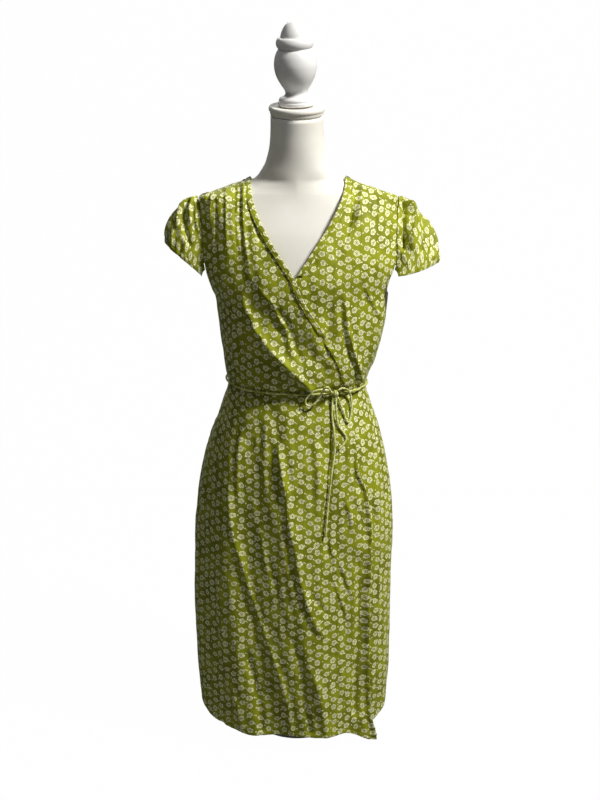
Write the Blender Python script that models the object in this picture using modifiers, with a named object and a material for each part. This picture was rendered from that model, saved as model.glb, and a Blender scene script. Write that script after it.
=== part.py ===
"""A knee-length wrap dress with cap sleeves and a thin tie, on a limbless dress form with a turned finial.

Metres, +Z up. The origin is the centre of the stand's underside, and the dress's front faces -Y.
The wearer's right side is at -X. Angles go round the body in degrees: 0 is the right side seam,
90 the centre front, 180 the left side seam and 270 the centre back.
"""

import math

import bpy
import numpy as np
from mathutils import Euler, Matrix, Vector

# Cloth
CLOTH = 0.0015  # wall of every cloth panel
BINDING = 0.0010  # wall of the neck binding
SEAM_GAP = 0.0003  # between pieces sewn to each other
BINDING_WIDTH = 0.010
UNDER_BINDING_FOOT = 0.955  # height down to which the under front's binding shows
OVERLAP_LIFT = 0.0042  # the over front's distance outside the base form, where it covers the under front
SQUARENESS = 2.2  # exponent of the body's sections: 2 is an ellipse

# Heights above the floor
WAIST = 0.733
UNDERARM = 0.902
SLEEVE_END = 0.957  # where each end of a cap sleeve meets the armhole
SHOULDER_TIP = 1.086
NECK_POINT = 1.122
BACK_NECK = 1.096
BACK_NECK_SHARE = 0.86  # of a bodice panel's rows, where the back neckline leaves the centre line
FRONT_CROSSING = 0.930  # near where the necklines cross
HEM = 0.034
HEM_CORNER_DROP = 0.016  # the over front's free corner hangs this much lower

# The dress's base form: half widths to the right and left, front and back depths
DRESS_SECTIONS = [
    # height, right, left, front, back
    (0.000, 0.195, 0.181, 0.135, 0.129),
    (0.040, 0.198, 0.183, 0.136, 0.130),
    (0.152, 0.206, 0.187, 0.139, 0.134),
    (0.275, 0.209, 0.187, 0.140, 0.137),
    (0.420, 0.204, 0.190, 0.139, 0.137),
    (0.510, 0.196, 0.186, 0.135, 0.134),
    (0.585, 0.182, 0.174, 0.129, 0.127),
    (0.652, 0.161, 0.157, 0.120, 0.113),
    (0.700, 0.143, 0.140, 0.111, 0.098),
    (0.733, 0.133, 0.133, 0.105, 0.088),
    (0.752, 0.137, 0.139, 0.113, 0.095),
    (0.780, 0.140, 0.150, 0.117, 0.098),
    (0.830, 0.146, 0.163, 0.118, 0.100),
    (0.880, 0.153, 0.171, 0.119, 0.103),
    (0.902, 0.156, 0.172, 0.119, 0.104),
    (0.915, 0.162, 0.174, 0.119, 0.104),
    (0.937, 0.175, 0.183, 0.118, 0.105),
    (0.957, 0.183, 0.195, 0.115, 0.105),
    (0.985, 0.187, 0.200, 0.108, 0.104),
    (1.030, 0.186, 0.195, 0.094, 0.100),
    (1.060, 0.184, 0.190, 0.081, 0.093),
    (1.086, 0.183, 0.187, 0.062, 0.084),
    (1.098, 0.151, 0.155, 0.050, 0.076),
    (1.110, 0.118, 0.122, 0.037, 0.060),
    (1.118, 0.097, 0.101, 0.024, 0.040),
    (1.122, 0.086, 0.090, 0.011, 0.015),
    (1.130, 0.064, 0.068, 0.004, 0.006),
]

# The armhole's distance round from the side seam, the same at the front and the back
ARMHOLE = [
    # height, degrees
    (0.902, 0.0),
    (0.915, 14.0),
    (0.937, 22.0),
    (0.957, 24.0),
    (0.985, 24.0),
    (1.030, 21.0),
    (1.060, 14.0),
    (1.078, 6.0),
    (1.086, 0.0),
]

# The fronts' free edges from the neck down to the waist, as X from the centre on the panel's own side
OVER_EDGE = [
    # height, across
    (0.733, -0.0985),
    (0.791, -0.0812),
    (0.921, -0.0075),
    (0.948, 0.0030),
    (0.976, 0.0216),
    (1.015, 0.0469),
    (1.059, 0.0705),
    (1.080, 0.0785),
    (1.099, 0.0838),
    (1.110, 0.0850),
    (1.122, 0.0860),
]
UNDER_EDGE = [
    # height, across
    (0.733, -0.0960),
    (0.791, -0.0800),
    (0.921, -0.0180),
    (0.948, -0.0040),
    (0.963, 0.0054),
    (1.012, 0.0378),
    (1.046, 0.0600),
    (1.081, 0.0790),
    (1.099, 0.0860),
    (1.110, 0.0885),
    (1.122, 0.0900),
]
# The skirt fronts' free edges from the hem up to the waist, as X past the centre
OVER_SKIRT_EDGE = [
    # height, past centre
    (0.000, 0.1510),
    (0.018, 0.1500),
    (0.053, 0.1425),
    (0.200, 0.1375),
    (0.311, 0.1355),
    (0.440, 0.1390),
    (0.528, 0.1310),
    (0.583, 0.1120),
    (0.644, 0.1072),
    (0.713, 0.1020),
    (0.733, 0.0985),
]
UNDER_SKIRT_EDGE = [
    # height, past centre
    (0.000, 0.0900),
    (0.300, 0.0880),
    (0.600, 0.0900),
    (0.733, 0.0960),
]

# Largest folds. A row is a place along the fold: its degrees and height, how far it stands out, and its width
SKIRT_FOLDS = {
    # name: [(degrees, height, out, width), ...] from its top to its foot
    "right side sweep": [
        (22, 0.66, 0.000, 0.030), (20, 0.45, 0.004, 0.034),
        (24, 0.20, 0.006, 0.034), (28, 0.00, 0.008, 0.034),
    ],
    "right front roll": [
        (52, 0.68, 0.002, 0.022), (50, 0.45, 0.006, 0.024),
        (58, 0.22, 0.007, 0.028), (68, 0.00, 0.009, 0.034),
    ],
    "right front trough": [
        (64, 0.66, -0.002, 0.022), (66, 0.40, -0.006, 0.026),
        (72, 0.20, -0.006, 0.026), (80, 0.00, -0.007, 0.028),
    ],
    "centre roll": [
        (84, 0.70, 0.003, 0.018), (86, 0.50, 0.006, 0.020),
        (94, 0.30, 0.007, 0.026), (104, 0.00, 0.008, 0.034),
    ],
    "left front trough": [
        (106, 0.64, -0.002, 0.020), (112, 0.42, -0.005, 0.024),
        (122, 0.20, -0.007, 0.028), (126, 0.00, -0.006, 0.028),
    ],
    "left side sweep": [
        (164, 0.62, 0.001, 0.030), (163, 0.30, 0.004, 0.034),
        (160, 0.00, 0.005, 0.030),
    ],
    "back right roll": [
        (322, 0.66, 0.002, 0.026), (320, 0.35, 0.007, 0.034),
        (316, 0.00, 0.009, 0.038),
    ],
    "back right trough": [
        (296, 0.62, -0.002, 0.026), (294, 0.35, -0.007, 0.034),
        (292, 0.00, -0.008, 0.036),
    ],
    "back centre roll": [
        (270, 0.60, 0.001, 0.028), (269, 0.30, 0.006, 0.034),
        (266, 0.00, 0.008, 0.038),
    ],
    "back left trough": [
        (240, 0.64, -0.002, 0.026), (242, 0.30, -0.007, 0.034),
        (243, 0.00, -0.008, 0.036),
    ],
    "back left roll": [(216, 0.66, 0.002, 0.026), (218, 0.35, 0.006, 0.034), (219, 0.00, 0.008, 0.038)],
}
BODICE_FOLDS = {
    "right shoulder gather": [
        (60, 1.105, 0.000, 0.012), (52, 1.04, 0.003, 0.016),
        (50, 0.98, 0.001, 0.020),
    ],
    "left shoulder gather": [
        (119, 1.105, 0.000, 0.012), (128, 1.04, 0.003, 0.016),
        (130, 0.98, 0.001, 0.020),
    ],
    "right bust drape": [(44, 0.95, 0.001, 0.022), (62, 0.86, 0.005, 0.022), (94, 0.76, 0.003, 0.018)],
    "right bust hollow": [
        (62, 0.95, -0.001, 0.020), (82, 0.86, -0.005, 0.020),
        (108, 0.78, -0.003, 0.016),
    ],
    "left bust drape": [
        (150, 0.93, 0.002, 0.024), (154, 0.84, 0.005, 0.022),
        (150, 0.76, 0.003, 0.018),
    ],
    "back right drape": [
        (318, 0.98, 0.001, 0.030), (312, 0.84, 0.004, 0.026),
        (304, 0.76, 0.003, 0.022),
    ],
    "back left drape": [
        (222, 0.98, 0.001, 0.030), (228, 0.84, 0.004, 0.026),
        (236, 0.76, 0.003, 0.022),
    ],
}

GIRTH_PER_DEGREE = 0.0029  # round the dress, about the same at the bust and the hip
FOLD_END = 0.03  # height over which a fold dies away past its ends

# Cap sleeves: the hem's ends, tip and spread from front to back
SLEEVES = {
    # name: (side, tip across, tip height, front and back spread, the hem ends' drop below the seam's)
    "cap_sleeve_right": (-1, 0.2500, 0.991, 0.060, 0.011),
    "cap_sleeve_left": (1, 0.2690, 0.970, 0.064, 0.010),
}
SLEEVE_GATHERS = [
    # place along the seam from its front end (0) to its back end (1), height of the gather
    (0.22, 0.0022),
    (0.34, -0.0020),
    (0.44, 0.0026),
    (0.56, 0.0024),
    (0.67, -0.0020),
    (0.78, 0.0022),
]
SLEEVE_GATHER_WIDTH = 0.05

# Tie, a thin sewn tube
TIE_DIAMETER = 0.0040
TIE_HEIGHT = 0.7365  # at the centre front
TIE_SLOPE = -0.035  # it lies lower towards the left
TIE_CLEAR = 0.0009
WAIST_BAND = 0.004  # just above the waist seam, where the bow's parts still follow the skirt
KNOT_ACROSS = 0.0712
KNOT_HEIGHT = 0.7335
KNOT_SIZE = (0.0064, 0.0048, 0.0062)  # half sizes
KNOT_OUT = 0.0082  # its centre, out from the over front
TIE_SHIFT = 0.0018  # towards the right, because the tie stands out from the form at a slant

# The bow's parts: across and up from the knot's centre, and out from the cloth, in millimetres
BOW = {
    "bow_loop_right": [
        (-5.2, 3.9, 7.6), (-11.0, 7.8, 8.8), (-19.5, 10.4, 8.4), (-30.5, 11.4, 8.0),
        (-43.5, 5.2, 8.0), (-53.2, -4.2, 7.6), (-55.6, -13.4, 7.2), (-49.0, -19.8, 7.6),
        (-38.6, -15.2, 9.4), (-29.6, -4.2, 11.6), (-23.6, 8.6, 12.6), (-19.4, 16.4, 12.4),
        (-14.8, 18.2, 13.4), (-11.0, 13.2, 14.6), (-8.6, 7.2, 14.4), (-5.4, 3.2, 11.6),
    ],
    "bow_loop_left": [
        (4.9, 6.2, 8.4), (11.4, 9.8, 8.8), (20.2, 7.6, 10.2), (26.9, -0.4, 12.4),
        (30.4, -13.8, 10.4), (31.4, -29.4, 7.6), (30.4, -44.6, 6.2), (26.6, -55.4, 5.4),
        (21.6, -52.6, 5.4), (17.0, -39.6, 6.0), (12.0, -25.4, 7.0), (7.2, -13.2, 8.8),
        (4.8, -6.6, 9.4),
    ],
    "tie_end_long": [
        (-4.0, -6.0, 8.0), (-5.2, -13.0, 6.8), (-5.8, -26.0, 5.2), (-5.8, -38.0, 4.4),
        (-4.6, -52.0, 4.0), (-2.0, -70.0, 3.8), (-0.6, -88.0, 3.8), (-0.8, -108.0, 3.8),
        (-3.2, -128.0, 3.8), (-6.0, -148.0, 3.8), (-8.6, -172.0, 3.8), (-11.6, -202.0, 3.8),
        (-14.2, -230.0, 3.8), (-16.2, -254.0, 3.8), (-17.2, -272.0, 3.8),
    ],
    "tie_end_short": [
        (0.4, -6.6, 10.6), (1.2, -15.0, 10.2), (1.8, -30.0, 9.0), (3.6, -46.0, 6.6),
        (6.8, -60.0, 5.0), (14.0, -71.0, 4.4), (20.4, -81.0, 4.2), (20.6, -89.0, 4.2),
        (14.6, -96.0, 4.2), (7.0, -103.4, 4.2),
    ],
}

# Dress form: half width, front and back depths, how far forward its centre is, and the section's exponent
FORM_SECTIONS = [
    # height, half, front, back, forward, exponent
    (0.5000, 0.1440, 0.0960, 0.0940, 0.000, 2.2),
    (0.5040, 0.1500, 0.1010, 0.0990, 0.000, 2.2),
    (0.5160, 0.1550, 0.1055, 0.1050, 0.000, 2.2),
    (0.5600, 0.1590, 0.1090, 0.1110, 0.000, 2.2),
    (0.6100, 0.1520, 0.1050, 0.1060, 0.000, 2.2),
    (0.6700, 0.1320, 0.0950, 0.0880, 0.000, 2.2),
    (0.7330, 0.1200, 0.0880, 0.0760, 0.000, 2.2),
    (0.8000, 0.1250, 0.0950, 0.0840, 0.000, 2.2),
    (0.8700, 0.1390, 0.1060, 0.0930, 0.000, 2.2),
    (0.9300, 0.1480, 0.1070, 0.0960, 0.000, 2.2),
    (0.9800, 0.1550, 0.0980, 0.0950, 0.000, 2.2),
    (1.0200, 0.1620, 0.0860, 0.0900, 0.000, 2.2),
    (1.0500, 0.1650, 0.0740, 0.0820, 0.000, 2.2),
    (1.0700, 0.1640, 0.0660, 0.0770, 0.000, 2.1),
    (1.0820, 0.1600, 0.0600, 0.0730, 0.000, 1.9),
    (1.0900, 0.1540, 0.0570, 0.0700, 0.000, 1.75),
    (1.0955, 0.1465, 0.0555, 0.0680, 0.000, 1.65),
    (1.1000, 0.1370, 0.0540, 0.0660, 0.000, 1.55),
    (1.1060, 0.1190, 0.0530, 0.0640, 0.000, 1.5),
    (1.1120, 0.1020, 0.0520, 0.0620, 0.000, 1.5),
    (1.1190, 0.0825, 0.0510, 0.0600, 0.000, 1.6),
    (1.1260, 0.0730, 0.0505, 0.0580, 0.001, 1.8),
    (1.1360, 0.0660, 0.0500, 0.0560, 0.002, 1.95),
    (1.1480, 0.0590, 0.0495, 0.0535, 0.003, 2.0),
    (1.1620, 0.0545, 0.0490, 0.0510, 0.005, 2.0),
    (1.1800, 0.0505, 0.0485, 0.0495, 0.007, 2.0),
    (1.2050, 0.0485, 0.0480, 0.0485, 0.010, 2.0),
    (1.2340, 0.0480, 0.0480, 0.0480, 0.014, 2.0),
]
NECK_BEND_START = 1.126  # from here up the neck leans forward
NECK_TILT = 9.0  # degrees forward at its top, which the cap and the finial share
FINIAL_LEAN = -2.0  # degrees towards the right

# Turned pieces, as outlines of radius and height in millimetres, from the top down
CAP_OUTLINE = [
    (0, 17.5), (46.5, 17.5), (49.5, 16.6), (51.2, 14.0), (51.2, 9.5),
    (49.4, 7.2), (48.8, 3.6), (46.4, 0.9), (44.6, 0), (0, 0),
]
FINIAL_OUTLINE = [
    (0, 147.0), (5.0, 146.0), (10.5, 143.6), (15.8, 139.4), (20.2, 133.2), (23.4, 126.4), (25.2, 120.0),
    (25.6, 118.4), (28.6, 118.0), (31.4, 115.6), (33.2, 111.4), (33.6, 107.2), (32.6, 102.8), (30.6, 99.6),
    (30.2, 98.0), (33.4, 93.0), (36.6, 85.0), (38.4, 75.0), (38.4, 66.0), (36.4, 55.0), (32.4, 45.0),
    (27.2, 36.0), (22.6, 29.0), (20.4, 24.0), (20.2, 20.4), (22.6, 17.0), (28.4, 14.2), (31.2, 12.0),
    (32.2, 9.0), (31.6, 7.4), (33.6, 6.6), (34.2, 3.6), (33.6, 0.6), (33.0, 0), (0, 0),
]
POLE_RADIUS = 0.016
BASE_OUTLINE = [
    (0, 26), (22, 26), (25, 24), (26.5, 19), (30, 13.5), (38, 10.8),
    (82, 8.6), (88, 7.2), (90, 4.6), (90, 0), (0, 0),
]
BASE_TOP = 0.026

TURN_STEPS = 28
FORM_AROUND = 32


def clear_scene():
    for item in list(bpy.data.objects):
        bpy.data.objects.remove(item, do_unlink=True)


def make_collection(name):
    group = bpy.data.collections.new(name)
    bpy.context.scene.collection.children.link(group)
    return group


def make_material(name, colour, roughness, metallic=0.0):
    material = bpy.data.materials.new(name)
    material.use_nodes = True
    shader = material.node_tree.nodes["Principled BSDF"]
    shader.inputs["Base Color"].default_value = (*colour, 1.0)
    shader.inputs["Roughness"].default_value = roughness
    shader.inputs["Metallic"].default_value = metallic
    return material


def add_mesh(group, name, points, faces, material, smooth=True):
    mesh = bpy.data.meshes.new(name)
    mesh.from_pydata([tuple(point) for point in points], [], faces)
    mesh.validate()
    mesh.materials.append(material)
    if smooth:
        mesh.shade_smooth()
    piece = bpy.data.objects.new(name, mesh)
    group.objects.link(piece)
    return piece


# ---- Smooth tables


def smooth_value(rows, place, column):
    """A column of a table at a place between its rows, on a curve that never overshoots them."""
    xs = np.array([row[0] for row in rows])
    ys = np.array([row[column] for row in rows])
    steps = np.diff(xs)
    slopes = np.diff(ys) / steps
    tangents = np.zeros(len(xs))
    for i in range(1, len(xs) - 1):
        before, after = slopes[i - 1], slopes[i]
        if before * after > 0:
            lean_before = 2 * steps[i] + steps[i - 1]
            lean_after = steps[i] + 2 * steps[i - 1]
            tangents[i] = (lean_before + lean_after) / (lean_before / before + lean_after / after)
    tangents[0], tangents[-1] = slopes[0], slopes[-1]
    place = np.clip(np.asarray(place, float), xs[0], xs[-1])
    i = np.clip(np.searchsorted(xs, place, side="right") - 1, 0, len(xs) - 2)
    w = (place - xs[i]) / steps[i]
    start = (1 + 2 * w) * (1 - w) ** 2 * ys[i] + w * (1 - w) ** 2 * steps[i] * tangents[i]
    end = w**2 * (3 - 2 * w) * ys[i + 1] + w**2 * (w - 1) * steps[i] * tangents[i + 1]
    return start + end


def smooth_step(value):
    value = np.clip(value, 0.0, 1.0)
    return value * value * (3 - 2 * value)


# ---- The dress's base form


def rounded(value):
    """A sine or cosine raised to the power that squares the section a little, keeping its sign."""
    return np.sign(value) * np.abs(value) ** (2 / SQUARENESS)


def form_point(angle, height):
    """The base form's surface at an angle in degrees and a height; arrays give an array of points."""
    turn = np.radians(angle)
    across, along = rounded(np.cos(turn)), rounded(np.sin(turn))
    right, left, front, back = (smooth_value(DRESS_SECTIONS, height, column) for column in (1, 2, 3, 4))
    half = np.where(across > 0, right, left)
    depth = np.where(along > 0, front, back)
    up = np.broadcast_to(np.asarray(height, float), np.shape(across))
    return np.stack([-half * across, -depth * along, up], axis=-1)


def form_normal(angle, height):
    """The base form's outward direction, from its points a little either side."""
    turn, rise = 0.4, 0.0008
    along = form_point(angle + turn, height) - form_point(angle - turn, height)
    up = form_point(angle, height + rise) - form_point(angle, height - rise)
    out = np.cross(along, up)
    return out / np.maximum(np.linalg.norm(out, axis=-1, keepdims=True), 1e-12)


def angle_at(across, height):
    """The front angle at which the base form has this X."""
    right, left = smooth_value(DRESS_SECTIONS, height, 1), smooth_value(DRESS_SECTIONS, height, 2)
    half = np.where(np.asarray(across) < 0, right, left)
    share = np.clip(np.abs(across) / half, 0, 1) ** (SQUARENESS / 2)
    return 90 + np.sign(across) * np.degrees(np.arcsin(share))


def fold_offset(folds, angle, height):
    """How far the folds stand out at each point: soft ridges and troughs that follow their own rows."""
    angle, height = np.broadcast_arrays(np.asarray(angle, float), np.asarray(height, float))
    total = np.zeros(angle.shape)
    for rows in folds.values():
        rising = [(row[1], row[0], row[2], row[3]) for row in reversed(rows)]
        centre = smooth_value(rising, height, 1)
        out = smooth_value(rising, height, 2)
        width = smooth_value(rising, height, 3)
        away = (angle - centre + 180) % 360 - 180
        top_fade = smooth_step((rising[-1][0] + FOLD_END - height) / FOLD_END)
        fade = top_fade * smooth_step((height - rising[0][0] + FOLD_END) / FOLD_END)
        total += out * fade * np.exp(-((away * GIRTH_PER_DEGREE / width) ** 2))
    return total


def over_lift(angle):
    """The over front leaves the base form past its armhole, to lie over the under front."""
    return OVERLAP_LIFT * smooth_step((np.asarray(angle, float) - 24) / 20)


def dressed_point(angle, height, lift):
    folds = SKIRT_FOLDS if np.max(height) <= WAIST + 1e-6 else BODICE_FOLDS
    calm = smooth_step(np.abs(np.asarray(height, float) - WAIST) / 0.05)
    out = fold_offset(folds, angle, height) * calm + lift
    return form_point(angle, height) + form_normal(angle, height) * np.asarray(out)[..., None]


# ---- Panels


def panel_rows(lower, upper):
    """Shares of a bodice panel's height, closer together near the shoulder where the form turns over."""
    above = 0.5 + 0.5 * (1 - (1 - np.linspace(0, 1, upper)) ** 1.7)
    rows = np.concatenate([np.linspace(0, 0.5, lower, endpoint=False), above])
    rows[np.abs(rows - BACK_NECK_SHARE).argmin()] = BACK_NECK_SHARE
    return rows


def outer_edge(rows):
    """Height and degrees from the side seam of a bodice panel's side and armhole edge."""
    below = WAIST + (UNDERARM - WAIST) * rows * 2
    above = UNDERARM + (SHOULDER_TIP - UNDERARM) * (rows * 2 - 1)
    height = np.where(rows < 0.5, below, above)
    degrees = np.where(rows < 0.5, 0.0, smooth_value(ARMHOLE, height, 1))
    return height, degrees


def front_inner_edge(rows, edge_table, side):
    """Height and degrees from the side seam of a front's neckline and wrap edge."""
    below = WAIST + (FRONT_CROSSING - WAIST) * rows * 2
    above = FRONT_CROSSING + (NECK_POINT - FRONT_CROSSING) * (rows * 2 - 1)
    height = np.where(rows < 0.5, below, above)
    across = smooth_value(edge_table, height, 1)
    if side < 0:
        degrees = angle_at(-across, height)
    else:
        degrees = 180 - angle_at(across, height)
    degrees[-1] = 0.0
    return height, degrees


def back_inner_edge(rows, side):
    """Height and degrees from the side seam of a back half's centre line and neckline."""
    w = np.clip((rows - BACK_NECK_SHARE) / (1 - BACK_NECK_SHARE), 0, 1)
    below = WAIST + (BACK_NECK - WAIST) * rows / BACK_NECK_SHARE
    height = np.where(rows < BACK_NECK_SHARE, below, BACK_NECK + (NECK_POINT - BACK_NECK) * w**2.2)
    neck_half = OVER_EDGE[-1][1] if side < 0 else UNDER_EDGE[-1][1]
    across = neck_half * np.sin(w * math.pi / 2)
    half = smooth_value(DRESS_SECTIONS, height, 1 if side < 0 else 2)
    degrees = 90 - np.degrees(np.arcsin(np.clip(across / half, 0, 1) ** (SQUARENESS / 2)))
    degrees[-1] = 0.0
    return height, degrees


def bodice_grid(side, face, columns, rows, edge_table=None):
    """Angles and heights of a bodice panel's points: rows go up, columns go from the side seam inwards."""
    outer_height, outer_degrees = outer_edge(rows)
    if face == "front":
        inner_height, inner_degrees = front_inner_edge(rows, edge_table, side)
    else:
        inner_height, inner_degrees = back_inner_edge(rows, side)
    s = np.linspace(0, 1, columns)[None, :]
    height = outer_height[:, None] * (1 - s) + inner_height[:, None] * s
    degrees = outer_degrees[:, None] * (1 - s) + inner_degrees[:, None] * s
    if face == "front":
        angle = degrees if side < 0 else 180 - degrees
    else:
        angle = 360 - degrees if side < 0 else 180 + degrees
    return angle, height


def hold_seams(points, side_shift, top_shift, bottom_shift):
    """Draws a panel's seam edges back, so that the leaning rims of two walls keep their gap."""
    points[:, 0, 1] += side_shift * SEAM_GAP
    points[-1, :, 1] += top_shift * SEAM_GAP * 1.5
    points[0, :, 2] += bottom_shift * SEAM_GAP / 2
    return points


def grid_faces(rows, columns, first=0, flip=False):
    faces = []
    for i in range(rows - 1):
        for j in range(columns - 1):
            a = first + i * columns + j
            quad = (a, a + 1, a + columns + 1, a + columns)
            faces.append(quad[::-1] if flip else quad)
    return faces


def add_wall(piece, thickness):
    wall = piece.modifiers.new("wall", "SOLIDIFY")
    wall.thickness = thickness
    wall.offset = -1.0
    wall.use_even_offset = False
    return piece


def add_panel(group, name, points, material, flip, thickness=CLOTH):
    rows, columns = points.shape[:2]
    piece = add_mesh(group, name, points.reshape(-1, 3), grid_faces(rows, columns, flip=flip), material)
    return add_wall(piece, thickness)


def add_binding(group, name, panel, material, flip, normals):
    """A flat strip on a panel's free edge, made from the panel's own points moved out."""
    edge, inner = panel[:, -1], panel[:, -2]
    span = np.linalg.norm(inner - edge, axis=1, keepdims=True)
    width = np.minimum(BINDING_WIDTH / np.maximum(span, 1e-6), 0.95)
    out = normals * (BINDING + 4 * SEAM_GAP)
    strip = np.stack([edge + (inner - edge) * width + out, edge + out], axis=1)
    return add_panel(group, name, strip, material, flip, BINDING)


def build_bodice(group, cloth):
    rows = panel_rows(6, 10)

    angle, height = bodice_grid(-1, "front", 14, rows, OVER_EDGE)
    over = hold_seams(dressed_point(angle, height, over_lift(angle) * over_fade(height)), -1, -1, 1)
    add_panel(group, "bodice_front_right", over, cloth, flip=False)
    add_binding(group, "neck_binding_right", over[1:-1], cloth, False, form_normal(angle, height)[1:-1, -1])

    angle, height = bodice_grid(1, "front", 13, rows, UNDER_EDGE)
    under = hold_seams(dressed_point(angle, height, under_drop(angle, height)), -1, -1, 1)
    add_panel(group, "bodice_front_left", under, cloth, flip=True)
    shown = np.flatnonzero(height[:, -1] > UNDER_BINDING_FOOT)[:-1]
    outward = form_normal(angle, height)[shown, -1]
    add_binding(group, "neck_binding_left", under[shown], cloth, True, outward)

    halves = []
    for side in (-1, 1):
        angle, height = bodice_grid(side, "back", 9, rows)
        halves.append(hold_seams(dressed_point(angle, height, 0.0), 1, 1, 1))
    add_back(group, "bodice_back", halves, cloth)
    add_back_binding(group, "neck_binding_back", halves, rows, cloth)


def over_fade(height):
    """The fronts lie on each other only below the necklines' crossing, and both reach the shoulders."""
    return 1 - 0.9 * smooth_step((np.asarray(height, float) - 1.00) / 0.09)


def under_drop(angle, height):
    """The under front settles inwards where the over front presses on it."""
    covered = smooth_step((150 - np.asarray(angle, float)) / 30)
    return -0.0008 * covered * smooth_step((0.95 - np.asarray(height, float)) / 0.05)


def add_back(group, name, halves, material):
    """Both halves of the back in one panel, joined along the centre line below the neck."""
    right, left = halves
    count = right[..., 0].size
    columns = right.shape[1]
    points = np.concatenate([right.reshape(-1, 3), left.reshape(-1, 3)])
    faces = grid_faces(right.shape[0], columns, flip=True) + grid_faces(left.shape[0], columns, first=count)
    piece = add_mesh(group, name, points, faces, material)
    weld = piece.modifiers.new("centre line", "WELD")
    weld.merge_threshold = 0.0001
    return add_wall(piece, CLOTH)


def add_back_binding(group, name, halves, rows, material):
    """One strip round the back neckline, from one neck point to the other."""
    neck = np.flatnonzero(rows >= BACK_NECK_SHARE)[:-1]
    edges, inners = [], []
    for half in halves:
        edges.append(half[neck, -1])
        inners.append(half[neck, -2])
    edge = np.concatenate([edges[0][::-1], edges[1][1:]])
    inner = np.concatenate([inners[0][::-1], inners[1][1:]])
    along = np.gradient(edge, axis=0)
    out = np.cross(along, inner - edge)
    out /= np.linalg.norm(out, axis=1, keepdims=True)
    out *= np.sign(out[:, 1:2] + 1e-9)
    span = np.linalg.norm(inner - edge, axis=1, keepdims=True)
    width = np.minimum(BINDING_WIDTH / span, 0.8)
    lift = out * (BINDING + 2 * SEAM_GAP)
    strip = np.stack([edge + (inner - edge) * width + lift, edge + lift], axis=1)
    add_panel(group, name, strip, material, True, BINDING)


def hem_height(angle, edge_angle):
    """The hem runs level and dips towards the over front's free corner."""
    return HEM - HEM_CORNER_DROP * np.exp(-(((angle - edge_angle) / 9.0) ** 2))


def skirt_grid(side, start, edge_table, columns, rows, corner):
    """Angles and heights of a skirt front: rows go down from the waist, columns out to the free edge."""
    t = np.linspace(0, 1, rows)[:, None]
    s = np.linspace(0, 1, columns)[None, :]
    foot = HEM - (HEM_CORNER_DROP if corner else 0.0)
    edge_height = WAIST + (foot - WAIST) * t
    across = smooth_value(edge_table, edge_height, 1)
    edge_angle = angle_at(-side * across, edge_height)
    angle = start * (1 - s) + edge_angle * s
    bottom = hem_height(angle, edge_angle[-1]) if corner else np.full(angle.shape, HEM)
    return angle, WAIST + (bottom - WAIST) * t


def build_skirt(group, cloth):
    columns_over, columns_under, columns_back, rows = 22, 11, 22, 12

    angle, height = skirt_grid(-1, 0.0, OVER_SKIRT_EDGE, columns_over, rows, corner=True)
    lift = over_lift(angle) + 0.004 * smooth_step((angle - 118) / 22) * smooth_step((0.6 - height) / 0.4)
    over = dressed_point(angle, height, lift)
    over[:, 0, 1] -= SEAM_GAP
    over[0, :, 2] -= SEAM_GAP / 2
    add_panel(group, "skirt_front_right", over, cloth, flip=True)

    angle, height = skirt_grid(1, 180.0, UNDER_SKIRT_EDGE, columns_under, rows, corner=False)
    under = dressed_point(angle, height, -0.0018 * smooth_step((150 - angle) / 40))
    under[:, 0, 1] -= SEAM_GAP
    under[0, :, 2] -= SEAM_GAP / 2
    add_panel(group, "skirt_front_left", under, cloth, flip=False)

    angle = np.broadcast_to(np.linspace(180, 360, columns_back)[None, :], (rows, columns_back))
    t = np.linspace(0, 1, rows)[:, None]
    height = np.broadcast_to(WAIST + (HEM - WAIST) * t, angle.shape)
    back = dressed_point(angle, height, 0.0)
    back[:, [0, -1], 1] += SEAM_GAP / 2
    back[0, :, 2] -= SEAM_GAP / 2
    add_panel(group, "skirt_back", back, cloth, flip=True)


# ---- Sleeves


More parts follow.
